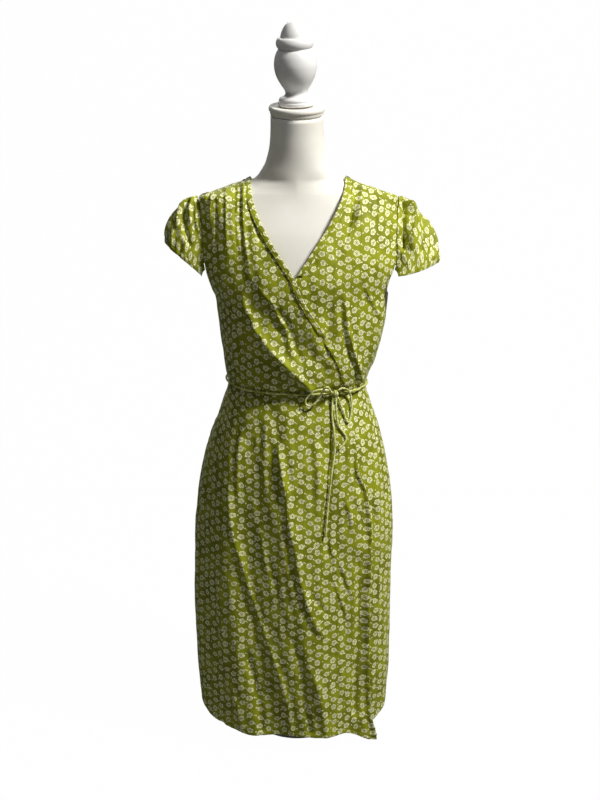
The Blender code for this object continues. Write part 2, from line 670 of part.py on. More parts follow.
def sleeve_grid(side, tip_across, tip_height, spread, drop, around, down):
    """A cap sleeve's points, along its seam from the front over the shoulder, and down to its hem."""
    u = np.linspace(0, 1, around)
    rise = np.sin(np.pi * u)
    seam_height = SLEEVE_END + (SHOULDER_TIP - SLEEVE_END) * rise
    degrees = smooth_value(ARMHOLE, seam_height, 1)
    front = u <= 0.5
    if side < 0:
        angle = np.where(front, degrees, 360 - degrees)
    else:
        angle = np.where(front, 180 - degrees, 180 + degrees)
    seam = form_point(angle, seam_height)
    outward = np.array([side, 0.0, 0.0])
    start = seam + form_normal(angle, seam_height) * SEAM_GAP + outward * 4 * SEAM_GAP
    end_across = abs(seam[0, 0]) + 0.007
    hem = np.stack(
        [
            side * (end_across + (tip_across - end_across) * rise**0.8),
            -spread * np.cos(np.pi * u),
            SLEEVE_END - drop + (tip_height - SLEEVE_END + drop) * rise**1.1,
        ],
        axis=-1,
    )
    reach = np.linalg.norm(hem - start, axis=1, keepdims=True)
    lean = 0.12 * rise - 0.2 * (1 - rise)
    forward = np.stack([side * np.ones_like(u), -0.25 * np.cos(np.pi * u), lean], axis=-1)
    forward /= np.linalg.norm(forward, axis=1, keepdims=True)
    upward = np.stack([side * 0.10 * np.ones_like(u), -0.12 * np.cos(np.pi * u), np.ones_like(u)], axis=-1)
    first = start + forward * reach * 0.30
    second = hem + upward * reach * 0.40
    v = np.linspace(0, 1, down)[:, None, None]
    points = (1 - v) ** 3 * start + 3 * v * (1 - v) ** 2 * first + 3 * v * v * (1 - v) * second + v**3 * hem
    fade = np.sin(np.pi * np.minimum(v[..., 0] * 1.1 + 0.02, 1)) ** 0.8
    swell = np.zeros((down, around))
    for place, height in SLEEVE_GATHERS:
        swell += height * np.exp(-(((u[None, :] - place) / SLEEVE_GATHER_WIDTH) ** 2)) * fade
    along = np.gradient(points, axis=1)
    across = np.gradient(points, axis=0)
    normal = np.cross(along, across)
    normal /= np.maximum(np.linalg.norm(normal, axis=-1, keepdims=True), 1e-9)
    return points + normal * (-side) * swell[..., None]


def build_sleeves(group, cloth):
    for name, (side, tip_across, tip_height, spread, drop) in SLEEVES.items():
        points = sleeve_grid(side, tip_across, tip_height, spread, drop, around=17, down=7)
        add_panel(group, name, points, cloth, flip=side < 0)


# ---- Tie and bow


def smooth_route(points, spacing):
    """Even points along a smooth curve through the given ones."""
    points = np.array(points, float)
    padded = np.vstack([2 * points[0] - points[1], points, 2 * points[-1] - points[-2]])
    dense = []
    for i in range(1, len(padded) - 2):
        p0, p1, p2, p3 = padded[i - 1 : i + 3]
        bend, twist = 2 * p0 - 5 * p1 + 4 * p2 - p3, 3 * p1 - p0 - 3 * p2 + p3
        for w in np.linspace(0, 1, 16, endpoint=False):
            dense.append(0.5 * (2 * p1 + (p2 - p0) * w + bend * w**2 + twist * w**3))
    dense.append(points[-1])
    dense = np.array(dense)
    run = np.concatenate([[0], np.cumsum(np.linalg.norm(np.diff(dense, axis=0), axis=1))])
    count = max(4, int(round(run[-1] / spacing)) + 1)
    at = np.linspace(0, run[-1], count)
    return np.stack([np.interp(at, run, dense[:, k]) for k in range(3)], axis=-1)


def add_tube(group, name, points, material):
    curve = bpy.data.curves.new(name, "CURVE")
    curve.dimensions = "3D"
    curve.bevel_depth = TIE_DIAMETER / 2
    curve.bevel_resolution = 2
    curve.use_fill_caps = True
    spline = curve.splines.new("POLY")
    spline.points.add(len(points) - 1)
    for point, place in zip(spline.points, points):
        point.co = (*place, 1.0)
    curve.materials.append(material)
    piece = bpy.data.objects.new(name, curve)
    group.objects.link(piece)
    return piece


def before_skirt(across, height, out):
    """A point in front of the over front, by its X and height and its distance out from the cloth."""
    cloth_height = min(height, WAIST) if height < WAIST + WAIST_BAND else height
    angle = float(angle_at(across, cloth_height))
    point = dressed_point(np.array([angle]), np.array([cloth_height]), over_lift(angle))[0]
    return np.array([across, point[1] - out, height])


def build_tie(group, cloth):
    knot_out = before_skirt(KNOT_ACROSS, KNOT_HEIGHT, KNOT_OUT)
    bpy.ops.mesh.primitive_uv_sphere_add(segments=14, ring_count=9, radius=1.0)
    knot = bpy.context.active_object
    knot.name = knot.data.name = "bow_knot"
    knot.data.transform(Matrix.LocRotScale(knot_out, None, Vector(KNOT_SIZE)))
    knot.data.materials.append(cloth)
    for owner in list(knot.users_collection):
        owner.objects.unlink(knot)
    group.objects.link(knot)

    start_angle = float(angle_at(KNOT_ACROSS + KNOT_SIZE[0] - TIE_SHIFT, KNOT_HEIGHT))
    end_angle = float(angle_at(KNOT_ACROSS - KNOT_SIZE[0] - 2 * TIE_SHIFT, KNOT_HEIGHT)) + 360
    angles = np.linspace(start_angle, end_angle, 64)
    height = TIE_HEIGHT + TIE_SLOPE * form_point(angles, np.full(angles.shape, TIE_HEIGHT))[:, 0]
    wrapped = angles % 360
    over = np.where(wrapped < 150, over_lift(wrapped), 0.0) * smooth_step((156 - wrapped) / 14)
    out = over + TIE_DIAMETER / 2 + TIE_CLEAR
    near_knot = np.exp(-(((angles - start_angle) / 4.0) ** 2)) + np.exp(-(((angles - end_angle) / 4.0) ** 2))
    points = form_point(angles, height) + form_normal(angles, height) * (out + 0.0022 * near_knot)[:, None]
    add_tube(group, "waist_tie", points, cloth)

    for name, route in BOW.items():
        steps = np.array(route) / 1000
        placed = [before_skirt(KNOT_ACROSS + across, KNOT_HEIGHT + up, out) for across, up, out in steps]
        add_tube(group, name, smooth_route(placed, 2.4 * TIE_DIAMETER), cloth)


# ---- Dress form and stand


def add_turned(group, name, outline, material):
    """A profile turned round Z, in millimetres from the top down its outer side."""
    points = [(radius / 1000, 0.0, height / 1000) for radius, height in outline]
    mesh = bpy.data.meshes.new(name)
    mesh.from_pydata(points, [(i, i + 1) for i in range(len(points) - 1)], [])
    mesh.materials.append(material)
    piece = bpy.data.objects.new(name, mesh)
    group.objects.link(piece)
    turn = piece.modifiers.new("turn", "SCREW")
    turn.steps = turn.render_steps = TURN_STEPS
    turn.use_merge_vertices = True
    turn.merge_threshold = 0.0001
    turn.use_normal_calculate = False
    return piece


def neck_frame(height):
    """How far the neck has leant forward at this height, as a turn about X."""
    top = FORM_SECTIONS[-1][0]
    return math.radians(NECK_TILT) * float(smooth_step((height - NECK_BEND_START) / (top - NECK_BEND_START)))


def build_form(group, linen, paint, steel):
    points, faces = [], []
    turn = np.radians(np.arange(FORM_AROUND) * 360 / FORM_AROUND)
    for height, half, front, back, forward, exponent in FORM_SECTIONS:
        power = 2 / exponent
        across = np.sign(np.cos(turn)) * np.abs(np.cos(turn)) ** power
        along = np.sign(np.sin(turn)) * np.abs(np.sin(turn)) ** power
        depth = np.where(along < 0, front, back)
        tilt = Matrix.Rotation(neck_frame(height), 3, "X")
        for x, y in zip(half * across, depth * along):
            points.append(tilt @ Vector((x, y, 0.0)) + Vector((0.0, -forward, height)))
    rings = len(FORM_SECTIONS)
    for i in range(rings - 1):
        for j in range(FORM_AROUND):
            a, b = i * FORM_AROUND + j, i * FORM_AROUND + (j + 1) % FORM_AROUND
            faces.append((a, b, b + FORM_AROUND, a + FORM_AROUND))
    faces.append(tuple(reversed(range(FORM_AROUND))))
    faces.append(tuple(range((rings - 1) * FORM_AROUND, rings * FORM_AROUND)))
    add_mesh(group, "form_torso", points, faces, linen)

    top_height, _, _, _, forward, _ = FORM_SECTIONS[-1]
    lean = Euler((math.radians(NECK_TILT), 0.0, 0.0)).to_matrix()
    neck_top = Vector((0.0, -forward, top_height))
    cap = add_turned(group, "neck_cap", CAP_OUTLINE, linen)
    cap.location = neck_top + lean @ Vector((0.0, 0.0, SEAM_GAP))
    cap.rotation_euler = lean.to_euler()
    cap_height = CAP_OUTLINE[0][1] / 1000
    finial = add_turned(group, "finial", FINIAL_OUTLINE, paint)
    side_lean = Euler((math.radians(NECK_TILT), math.radians(FINIAL_LEAN), 0.0))
    edge_rise = FINIAL_OUTLINE[-2][0] / 1000 * math.sin(math.radians(abs(FINIAL_LEAN)))
    finial.location = cap.location + lean @ Vector((0.0, 0.0, cap_height + SEAM_GAP + edge_rise))
    finial.rotation_euler = side_lean

    add_turned(group, "stand_base", BASE_OUTLINE, steel)
    pole_length = FORM_SECTIONS[0][0] - BASE_TOP - 2 * SEAM_GAP
    middle = BASE_TOP + SEAM_GAP + pole_length / 2
    bpy.ops.mesh.primitive_cylinder_add(
        vertices=20, radius=POLE_RADIUS, depth=pole_length, location=(0, 0, middle)
    )
    pole = bpy.context.active_object
    pole.name = pole.data.name = "stand_pole"
    pole.data.materials.append(steel)
    for owner in list(pole.users_collection):
        owner.objects.unlink(pole)
    group.objects.link(pole)


def main():
    clear_scene()
    group = make_collection("wrap_dress_on_form")
    cloth = make_material("printed_viscose", (0.36, 0.45, 0.06), 0.7)
    linen = make_material("form_cover", (0.86, 0.84, 0.77), 0.65)
    paint = make_material("white_paint", (0.88, 0.87, 0.86), 0.35)
    steel = make_material("stand_metal", (0.80, 0.80, 0.79), 0.4, 0.2)
    build_form(group, linen, paint, steel)
    build_bodice(group, cloth)
    build_skirt(group, cloth)
    build_sleeves(group, cloth)
    build_tie(group, cloth)


main()
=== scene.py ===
"""The looks of a wrap dress on a limbless dress form.

Metres, +Z up. The dress's front faces -Y and the wearer's right side is at -X. Angles go round the body in
degrees: 0 is the right side seam, 90 the centre front, 180 the left side seam and 270 the centre back.
"""

import math

import bpy
import numpy as np
from mathutils import Euler, Matrix, Vector


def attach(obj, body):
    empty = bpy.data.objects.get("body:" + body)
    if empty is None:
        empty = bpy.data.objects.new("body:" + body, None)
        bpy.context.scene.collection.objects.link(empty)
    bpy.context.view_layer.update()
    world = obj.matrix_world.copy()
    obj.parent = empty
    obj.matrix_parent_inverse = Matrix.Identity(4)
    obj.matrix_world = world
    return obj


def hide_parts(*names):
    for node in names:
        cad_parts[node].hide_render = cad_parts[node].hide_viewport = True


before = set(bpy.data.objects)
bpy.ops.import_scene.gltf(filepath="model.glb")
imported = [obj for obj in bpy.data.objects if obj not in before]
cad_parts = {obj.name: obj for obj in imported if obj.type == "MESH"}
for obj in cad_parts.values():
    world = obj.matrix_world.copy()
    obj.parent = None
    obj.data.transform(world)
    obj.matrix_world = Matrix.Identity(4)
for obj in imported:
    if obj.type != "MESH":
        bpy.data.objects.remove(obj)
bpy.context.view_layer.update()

MM = 0.001

# ---- Sizes of the dress

CLOTH = 0.6 * MM
SEAM_GAP = 0.3 * MM
BINDING_WIDTH = 10 * MM
BINDING_HEIGHT = 1.375
UNDER_BINDING_FOOT = 0.955
OVERLAP_LIFT = 4.2 * MM
OVERLAP_START, OVERLAP_RAMP = 24, 20
UNDER_LIFT = -0.0018
UNDER_BODICE_LIFT = -0.0008
SQUARENESS = 2.2

WAIST = 0.733
UNDERARM = 0.902
SLEEVE_END = 0.957
SHOULDER_TIP = 1.086
NECK_POINT = 1.122
BACK_NECK = 1.096
BACK_NECK_SHARE = 0.86
FRONT_CROSSING = 0.930
HEM = 0.034
HEM_SIDE_RISE, HEM_SIDE_SPREAD = 0.073, 68
HEM_LEFT_RISE, HEM_LEFT_START, HEM_LEFT_SPREAD = 0.048, 140, 40
HEM_CORNER_DROP, HEM_CORNER_SPREAD = 0.0315, 17.0
HEM_RADIUS = 0.17

DRESS_SECTIONS = [
    # height, right, left, front, back
    (0.000, 0.195, 0.181, 0.135, 0.129),
    (0.040, 0.198, 0.183, 0.136, 0.130),
    (0.152, 0.206, 0.187, 0.139, 0.134),
    (0.275, 0.209, 0.187, 0.140, 0.137),
    (0.420, 0.204, 0.190, 0.139, 0.137),
    (0.510, 0.196, 0.186, 0.135, 0.134),
    (0.585, 0.182, 0.174, 0.129, 0.127),
    (0.652, 0.161, 0.157, 0.120, 0.113),
    (0.700, 0.143, 0.140, 0.111, 0.098),
    (0.733, 0.133, 0.133, 0.105, 0.088),
    (0.752, 0.137, 0.139, 0.113, 0.095),
    (0.780, 0.140, 0.150, 0.117, 0.098),
    (0.830, 0.146, 0.163, 0.118, 0.100),
    (0.880, 0.153, 0.171, 0.119, 0.103),
    (0.902, 0.156, 0.172, 0.119, 0.104),
    (0.915, 0.162, 0.174, 0.119, 0.104),
    (0.937, 0.175, 0.183, 0.118, 0.105),
    (0.957, 0.183, 0.195, 0.115, 0.105),
    (0.985, 0.187, 0.200, 0.108, 0.104),
    (1.030, 0.186, 0.195, 0.094, 0.100),
    (1.060, 0.184, 0.190, 0.081, 0.093),
    (1.086, 0.183, 0.187, 0.062, 0.084),
    (1.098, 0.151, 0.155, 0.050, 0.076),
    (1.110, 0.118, 0.122, 0.037, 0.060),
    (1.118, 0.097, 0.101, 0.024, 0.040),
    (1.122, 0.086, 0.090, 0.011, 0.015),
    (1.130, 0.064, 0.068, 0.004, 0.006),
]
ARMHOLE = [
    # height, degrees from the side seam
    (0.902, 0.0),
    (0.915, 14.0),
    (0.937, 22.0),
    (0.957, 24.0),
    (0.985, 24.0),
    (1.030, 21.0),
    (1.060, 14.0),
    (1.078, 6.0),
    (1.086, 0.0),
]
OVER_EDGE = [
    # height, across on its own side
    (0.733, -0.0985),
    (0.791, -0.0812),
    (0.921, -0.0075),
    (0.948, 0.0030),
    (0.976, 0.0216),
    (1.015, 0.0469),
    (1.059, 0.0705),
    (1.080, 0.0785),
    (1.099, 0.0838),
    (1.110, 0.0850),
    (1.122, 0.0860),
]
UNDER_EDGE = [
    # height, across on its own side
    (0.733, -0.0960),
    (0.791, -0.0800),
    (0.921, -0.0180),
    (0.948, -0.0040),
    (0.963, 0.0054),
    (1.012, 0.0378),
    (1.046, 0.0600),
    (1.081, 0.0790),
    (1.099, 0.0860),
    (1.110, 0.0885),
    (1.122, 0.0900),
]
OVER_SKIRT_EDGE = [
    # height, past the centre
    (0.000, 0.1480),
    (0.018, 0.1470),
    (0.053, 0.1420),
    (0.200, 0.1375),
    (0.311, 0.1355),
    (0.440, 0.1390),
    (0.528, 0.1310),
    (0.583, 0.1120),
    (0.644, 0.1072),
    (0.713, 0.1020),
    (0.733, 0.0985),
]
UNDER_SKIRT_EDGE = [
    # height, past the centre
    (0.000, 0.0900),
    (0.300, 0.0880),
    (0.600, 0.0900),
    (0.733, 0.0960),
]

# The large folds, as in the frame: places along each fold from its top, with degrees, height, out and width
SKIRT_FOLDS = [
    [(22, 0.66, 0.000, 0.030), (20, 0.45, 0.004, 0.034), (24, 0.20, 0.006, 0.034), (28, 0.00, 0.008, 0.034)],
    [(52, 0.68, 0.002, 0.022), (50, 0.45, 0.006, 0.024), (58, 0.22, 0.007, 0.028), (68, 0.00, 0.009, 0.034)],
    [(64, 0.66, -0.002, 0.022), (66, 0.4, -0.006, 0.026), (72, 0.2, -0.006, 0.026), (80, 0.0, -0.007, 0.028)],
    [(84, 0.70, 0.003, 0.018), (86, 0.50, 0.006, 0.020), (94, 0.30, 0.007, 0.026), (104, 0.00, 0.008, 0.034)],
    [(106, 0.64, -0.002, 0.02), (112, 0.42, -0.005, 0.024), (122, 0.2, -0.007, 0.028),
     (126, 0, -0.006, 0.028)],
    [(164, 0.62, 0.001, 0.030), (163, 0.30, 0.004, 0.034), (160, 0.00, 0.005, 0.030)],
    [(322, 0.66, 0.002, 0.026), (320, 0.35, 0.007, 0.034), (316, 0.00, 0.009, 0.038)],
    [(296, 0.62, -0.002, 0.026), (294, 0.35, -0.007, 0.034), (292, 0.00, -0.008, 0.036)],
    [(270, 0.60, 0.001, 0.028), (269, 0.30, 0.006, 0.034), (266, 0.00, 0.008, 0.038)],
    [(240, 0.64, -0.002, 0.026), (242, 0.30, -0.007, 0.034), (243, 0.00, -0.008, 0.036)],
    [(216, 0.66, 0.002, 0.026), (218, 0.35, 0.006, 0.034), (219, 0.00, 0.008, 0.038)],
]
BODICE_FOLDS = [
    [(60, 1.105, 0.000, 0.012), (52, 1.04, 0.003, 0.016), (50, 0.98, 0.001, 0.020)],
    [(119, 1.105, 0.000, 0.012), (128, 1.04, 0.003, 0.016), (130, 0.98, 0.001, 0.020)],
    [(44, 0.95, 0.001, 0.022), (62, 0.86, 0.005, 0.022), (94, 0.76, 0.003, 0.018)],
    [(62, 0.95, -0.001, 0.020), (82, 0.86, -0.005, 0.020), (108, 0.78, -0.003, 0.016)],
    [(150, 0.93, 0.002, 0.024), (154, 0.84, 0.005, 0.022), (150, 0.76, 0.003, 0.018)],
    [(318, 0.98, 0.001, 0.030), (312, 0.84, 0.004, 0.026), (304, 0.76, 0.003, 0.022)],
    [(222, 0.98, 0.001, 0.030), (228, 0.84, 0.004, 0.026), (236, 0.76, 0.003, 0.022)],
]
GIRTH_PER_DEGREE = 0.0029
FOLD_END = 0.03

# Creases: out, half width, the share of a trough on the side away from the key light, and the places that the
# crease runs through from its top, across and up. All but the share are in millimetres.
FRONT_SKIRT_CREASES = [
    (5.0, 9, 0.6, [
        (-34, 655), (-32, 620), (-26, 579), (-17, 523), (-14, 485),
        (-4, 441), (2, 403), (15, 340), (39, 274), (57, 243),
    ]),
    (3.6, 9, 0.5, [
        (-126, 565), (-120, 472), (-106, 408), (-87, 332),
        (-74, 293), (-47, 207), (-20, 109), (-14, 40),
    ]),
    (3.0, 10, 0.5, [(-150, 400), (-148, 340), (-146, 280), (-137, 182), (-131, 145), (-116, 97), (-107, 40)]),
    (3.0, 10, 0.5, [(14, 216), (25, 186), (43, 126), (59, 30)]),
    (1.6, 6, 0.4, [(-11, 650), (-9, 626), (-4, 548)]),
    (2.8, 12, 0.3, [(30, 676), (37, 616), (40, 565), (38, 498)]),
    (2.2, 6, 0.6, [(86, 550), (91, 529), (101, 494), (105, 448)]),
    (2.2, 6, 0.6, [(54, 458), (69, 426), (75, 389), (84, 348)]),
    (1.7, 4, 0.6, [(60, 402), (72, 365), (88, 318), (104, 268)]),
    (1.8, 5, 0.6, [(68, 436), (84, 400), (100, 352), (116, 306)]),
    (-2.6, 7, 0.0, [(104, 534), (110, 517), (124, 474), (127, 422)]),
    (-5.0, 12, 0.0, [(112, 440), (116, 405), (121, 298), (120, 211), (116, 60)]),
    (-3.6, 10, 0.0, [(-104, 232), (-92, 187), (-79, 127), (-70, 40)]),
    (-4.2, 11, 0.0, [(-10, 262), (2, 215), (14, 131), (27, 40)]),
    (-3.2, 6, 0.0, [(18, 727), (14, 719), (-4, 699), (-14, 686)]),
    (-3.0, 6, 0.0, [(-24, 724), (-60, 714), (-96, 702), (-118, 706)]),
    (2.0, 8, 0.4, [(-50, 700), (-58, 660), (-60, 600), (-56, 540)]),
    (1.8, 7, 0.5, [(-92, 690), (-104, 640), (-110, 570), (-108, 500)]),
    (-3.0, 7, 0.0, [(66, 684), (66, 665), (62, 571), (57, 433), (54, 398)]),
    (2.0, 9, 0.4, [(96, 700), (98, 650), (98, 590), (104, 556)]),
    (1.6, 9, 0.4, [(-172, 600), (-184, 480), (-188, 300), (-184, 120)]),
    (2.2, 8, 0.5, [(150, 560), (158, 440), (160, 320), (154, 200), (150, 90)]),
    (1.6, 6, 0.5, [(134, 690), (150, 620), (164, 540)]),
    (-1.8, 7, 0.0, [(-2, 420), (14, 372), (36, 330), (58, 300), (82, 286)]),
    (1.3, 5, 0.5, [(-70, 480), (-62, 420), (-50, 366)]),
    (1.4, 6, 0.5, [(-40, 190), (-30, 140), (-24, 80)]),
    (1.4, 6, 0.5, [(84, 220), (88, 160), (92, 80)]),
]
FRONT_BODICE_CREASES = [
    (3.6, 8, 0.7, [
        (-80, 952), (-66, 929), (-43, 905), (-30, 876),
        (-21, 862), (-15, 841), (-7, 815), (2, 792),
    ]),
    (5.0, 9, 0.7, [
        (-98, 930), (-92, 904), (-77, 872), (-70, 855), (-44, 818),
        (-26, 801), (-8, 781), (12, 762), (30, 742),
    ]),
    (3.0, 8, 0.6, [(-122, 892), (-114, 869), (-102, 841), (-91, 810), (-78, 786)]),
    (-2.6, 8, 0.0, [(-52, 888), (-58, 873), (-66, 839), (-62, 820)]),
    (-3.2, 7, 0.0, [(-50, 912), (-34, 893), (-20, 871), (-10, 848)]),
    (-3.6, 8, 0.0, [(-10, 846), (-4, 830), (2, 813), (14, 788)]),
    (-2.2, 5, 0.0, [(-134, 788), (-111, 768), (-84, 750)]),
    (-1.6, 5, 0.0, [(-130, 812), (-112, 794), (-92, 778)]),
    (2.4, 5, 0.5, [(-18, 780), (2, 764), (15, 753), (30, 743)]),
    (2.6, 5, 0.8, [(-98, 1112), (-96, 1052), (-90, 1000), (-82, 956)]),
    (1.8, 4, 0.7, [(-157, 1094), (-158, 1056), (-154, 1016)]),
    (-1.8, 4, 0.0, [(-149, 1088), (-147, 1009), (-142, 958)]),
    (1.3, 5, 0.6, [(-130, 1104), (-127, 1050), (-121, 986)]),
    (-1.6, 5, 0.0, [(-113, 1106), (-111, 1040), (-104, 976)]),
    (-2.2, 6, 0.0, [(-84, 1082), (-74, 1040), (-58, 1000)]),
    (1.6, 6, 0.5, [(-132, 960), (-124, 920), (-108, 880)]),
    (-5.0, 15, 0.0, [(58, 936), (60, 914), (57, 829), (64, 796)]),
    (4.2, 7, 0.5, [(84, 936), (89, 902), (93, 858), (107, 801), (116, 777), (121, 739)]),
    (1.6, 3.5, 0.6, [(116, 876), (112, 850), (109, 834), (109, 794)]),
    (2.6, 6, 0.6, [(122, 948), (128, 924), (140, 899), (151, 872), (158, 846)]),
    (-4.6, 4.5, 0.0, [(109, 1111), (102, 1076), (98, 1050), (91, 1025), (85, 1000)]),
    (3.0, 5, 0.3, [(120, 1108), (113, 1070), (107, 1038), (100, 1008)]),
    (1.2, 5, 0.5, [(152, 1090), (150, 1050), (146, 1000)]),
    (-1.4, 6, 0.0, [(136, 1098), (132, 1050), (130, 1000)]),
    (-2.0, 6, 0.0, [(140, 800), (128, 776), (120, 752)]),
]
BACK_SKIRT_CREASES = [
    (3.4, 9, 0.6, [(-40, 690), (-52, 560), (-60, 420), (-56, 260), (-44, 120), (-36, 40)]),
    (3.0, 9, 0.5, [(52, 700), (70, 600), (86, 460), (92, 300), (84, 160), (80, 40)]),
    (-3.6, 11, 0.0, [(14, 660), (20, 520), (22, 360), (30, 200), (40, 40)]),
    (2.2, 8, 0.5, [(-100, 650), (-120, 540), (-128, 380), (-122, 220)]),
    (-2.8, 10, 0.0, [(-88, 420), (-84, 280), (-92, 120), (-98, 40)]),
    (1.8, 6, 0.5, [(96, 690), (118, 610), (134, 520)]),
    (2.0, 7, 0.6, [(-8, 360), (2, 260), (6, 140), (0, 50)]),
    (2.4, 9, 0.5, [(140, 420), (146, 280), (138, 130), (130, 50)]),
    (-1.8, 6, 0.0, [(-16, 720), (-24, 690), (-28, 650)]),
    (1.6, 5, 0.6, [(20, 722), (26, 700), (34, 660)]),
]
BACK_BODICE_CREASES = [
    (3.2, 9, 0.6, [(-126, 900), (-100, 850), (-72, 800), (-48, 752)]),
    (2.6, 8, 0.6, [(130, 890), (108, 846), (80, 800), (58, 754)]),
    (-2.6, 10, 0.0, [(-20, 860), (-14, 800), (-10, 750)]),
    (2.0, 7, 0.5, [(-60, 950), (-48, 880), (-30, 800), (-22, 752)]),
    (2.2, 7, 0.5, [(40, 930), (34, 860), (26, 790), (24, 750)]),
    (1.6, 5, 0.6, [(-122, 1100), (-120, 1050), (-112, 990)]),
    (1.8, 5, 0.6, [(112, 1104), (112, 1050), (106, 980)]),
    (-1.6, 5, 0.0, [(-98, 1100), (-98, 1050), (-92, 1000)]),
    (-2.0, 6, 0.0, [(-134, 800), (-116, 776), (-100, 752)]),
    (-1.8, 6, 0.0, [(136, 810), (120, 780), (104, 754)]),
]


# ---- Relief of the cloth

# How far out, the cells' lengths round and up, and the seed; streaks and the skirt's rumple lean with height
RUMPLE = {"skirt": (1.2 * MM, 0.026, 0.11, 21), "bodice": (1.1 * MM, 0.026, 0.055, 51)}
RUMPLE_LEAN = {"skirt": 0.12, "bodice": 0.0}
STREAKS = {"skirt": (1.05 * MM, 0.0105, 0.075, 62), "bodice": (0.75 * MM, 0.0105, 0.075, 62)}
STREAK_LEAN = 0.2
CREPE = (0.55 * MM, 0.012, 0.020, 61)
SLEEVE_CREPE = (0.5 * MM, 0.016, 0.02, 94)
# Reach from the seam, depth and seed
WAIST_GATHERS = {"skirt": (0.030, 1.5 * MM, 11), "bodice": (0.022, 1.7 * MM, 31)}
SHOULDER_GATHERS = (1.105, 0.035, 0.9 * MM, 41)
# How far out, the cell's length along the edge, and the seed
HEM_UNEVEN = (2.5 * MM, 0.055, 81)
EDGE_PUCKERS = (1.5 * MM, 0.011, 84)
EDGE_BEADS = (1.3 * MM, 0.0055, 87)
NECK_PUCKER_OUT, NECK_PUCKER_CELL, NECK_PUCKER_SEED = 0.8 * MM, 0.0075, 75
SLEEVE_COMB = (1.3 * MM, 0.0055, 92)
HEM_BAND, SLEEVE_BAND, FREE_EDGE_BAND = 9 * MM, 10 * MM, 8 * MM
STITCH_STEP, STITCH_GROOVE, STITCH_PUCKER = 0.35 * MM, -0.55 * MM, 0.35 * MM
CREASE_OUT, CREASE_WIDTH = 1.30, 0.70
SLEEVE_CREASE_OUT = 2.1
# A crease fades out over the short length where it starts at a seam, and over the long one elsewhere
SHORT_FADE, LONG_FADE = 0.012, 0.055
NOISE_CELLS = 64


# ---- Smooth tables and the dress's base form, as in the frame


def smooth_value(rows, place, column):
    """A column of a table at a place between its rows, on a curve that never overshoots them."""
    xs = np.array([row[0] for row in rows])
    ys = np.array([row[column] for row in rows])
    steps = np.diff(xs)
    slopes = np.diff(ys) / steps
    tangents = np.zeros(len(xs))
    for i in range(1, len(xs) - 1):
        before, after = slopes[i - 1], slopes[i]
        if before * after > 0:
            lean_before = 2 * steps[i] + steps[i - 1]
            lean_after = steps[i] + 2 * steps[i - 1]
            tangents[i] = (lean_before + lean_after) / (lean_before / before + lean_after / after)
    tangents[0], tangents[-1] = slopes[0], slopes[-1]
    place = np.clip(np.asarray(place, float), xs[0], xs[-1])
    i = np.clip(np.searchsorted(xs, place, side="right") - 1, 0, len(xs) - 2)
    w = (place - xs[i]) / steps[i]
    start = (1 + 2 * w) * (1 - w) ** 2 * ys[i] + w * (1 - w) ** 2 * steps[i] * tangents[i]
    end = w**2 * (3 - 2 * w) * ys[i + 1] + w**2 * (w - 1) * steps[i] * tangents[i + 1]
    return start + end


def smooth_step(value):
    value = np.clip(value, 0.0, 1.0)
    return value * value * (3 - 2 * value)


def bell(value, width):
    """1 where the value is 0, falling to nearly nothing at two widths either side."""
    return np.exp(-((value / width) ** 2))


def rounded(value, squareness=SQUARENESS):
    """A sine or cosine raised to the power that squares a section, keeping its sign."""
    return np.sign(value) * np.abs(value) ** (2 / squareness)


def run_along(points):
    """The length along a route from its first point to each of its points."""
    return np.concatenate([[0], np.cumsum(np.linalg.norm(np.diff(points, axis=0), axis=1))])


def form_point(angle, height):
    """The base form's surface at an angle in degrees and a height; arrays give an array of points."""
    angle, height = np.broadcast_arrays(np.asarray(angle, float), np.asarray(height, float))
    turn = np.radians(angle)
    across, along = rounded(np.cos(turn)), rounded(np.sin(turn))
    right, left, front, back = (smooth_value(DRESS_SECTIONS, height, column) for column in (1, 2, 3, 4))
    half = np.where(across > 0, right, left)
    depth = np.where(along > 0, front, back)
    return np.stack([-half * across, -depth * along, height], axis=-1)


def form_normal(angle, height):
    """The base form's outward direction, from its points a little either side."""
    turn, rise = 0.4, 0.0008
    along = form_point(angle + turn, height) - form_point(angle - turn, height)
    up = form_point(angle, height + rise) - form_point(angle, height - rise)
    out = np.cross(along, up)
    return out / np.maximum(np.linalg.norm(out, axis=-1, keepdims=True), 1e-12)


def angle_at(across, height):
    """The front angle at which the base form has this X."""
    right, left = smooth_value(DRESS_SECTIONS, height, 1), smooth_value(DRESS_SECTIONS, height, 2)
    half = np.where(np.asarray(across) < 0, right, left)
    share = np.clip(np.abs(across) / half, 0, 1) ** (SQUARENESS / 2)
    return 90 + np.sign(across) * np.degrees(np.arcsin(share))


def fold_offset(folds, angle, height):
    """How far the large folds stand out at each point."""
    angle, height = np.broadcast_arrays(np.asarray(angle, float), np.asarray(height, float))
    total = np.zeros(angle.shape)
    for rows in folds:
        rising = [(row[1], row[0], row[2], row[3]) for row in reversed(rows)]
        centre, out, width = (smooth_value(rising, height, column) for column in (1, 2, 3))
        away = (angle - centre + 180) % 360 - 180
        top_fade = smooth_step((rising[-1][0] + FOLD_END - height) / FOLD_END)
        fade = top_fade * smooth_step((height - rising[0][0] + FOLD_END) / FOLD_END)
        total += out * fade * bell(away * GIRTH_PER_DEGREE, width)
    return total


def over_lift(angle):
    """How far the over front stands out from the base form: nothing at its own side seam."""
    return OVERLAP_LIFT * smooth_step((np.asarray(angle, float) - OVERLAP_START) / OVERLAP_RAMP)


def over_fade(height):
    """The share of that lift that is left towards the shoulder."""
    return 1 - 0.9 * smooth_step((np.asarray(height, float) - 1.00) / 0.09)


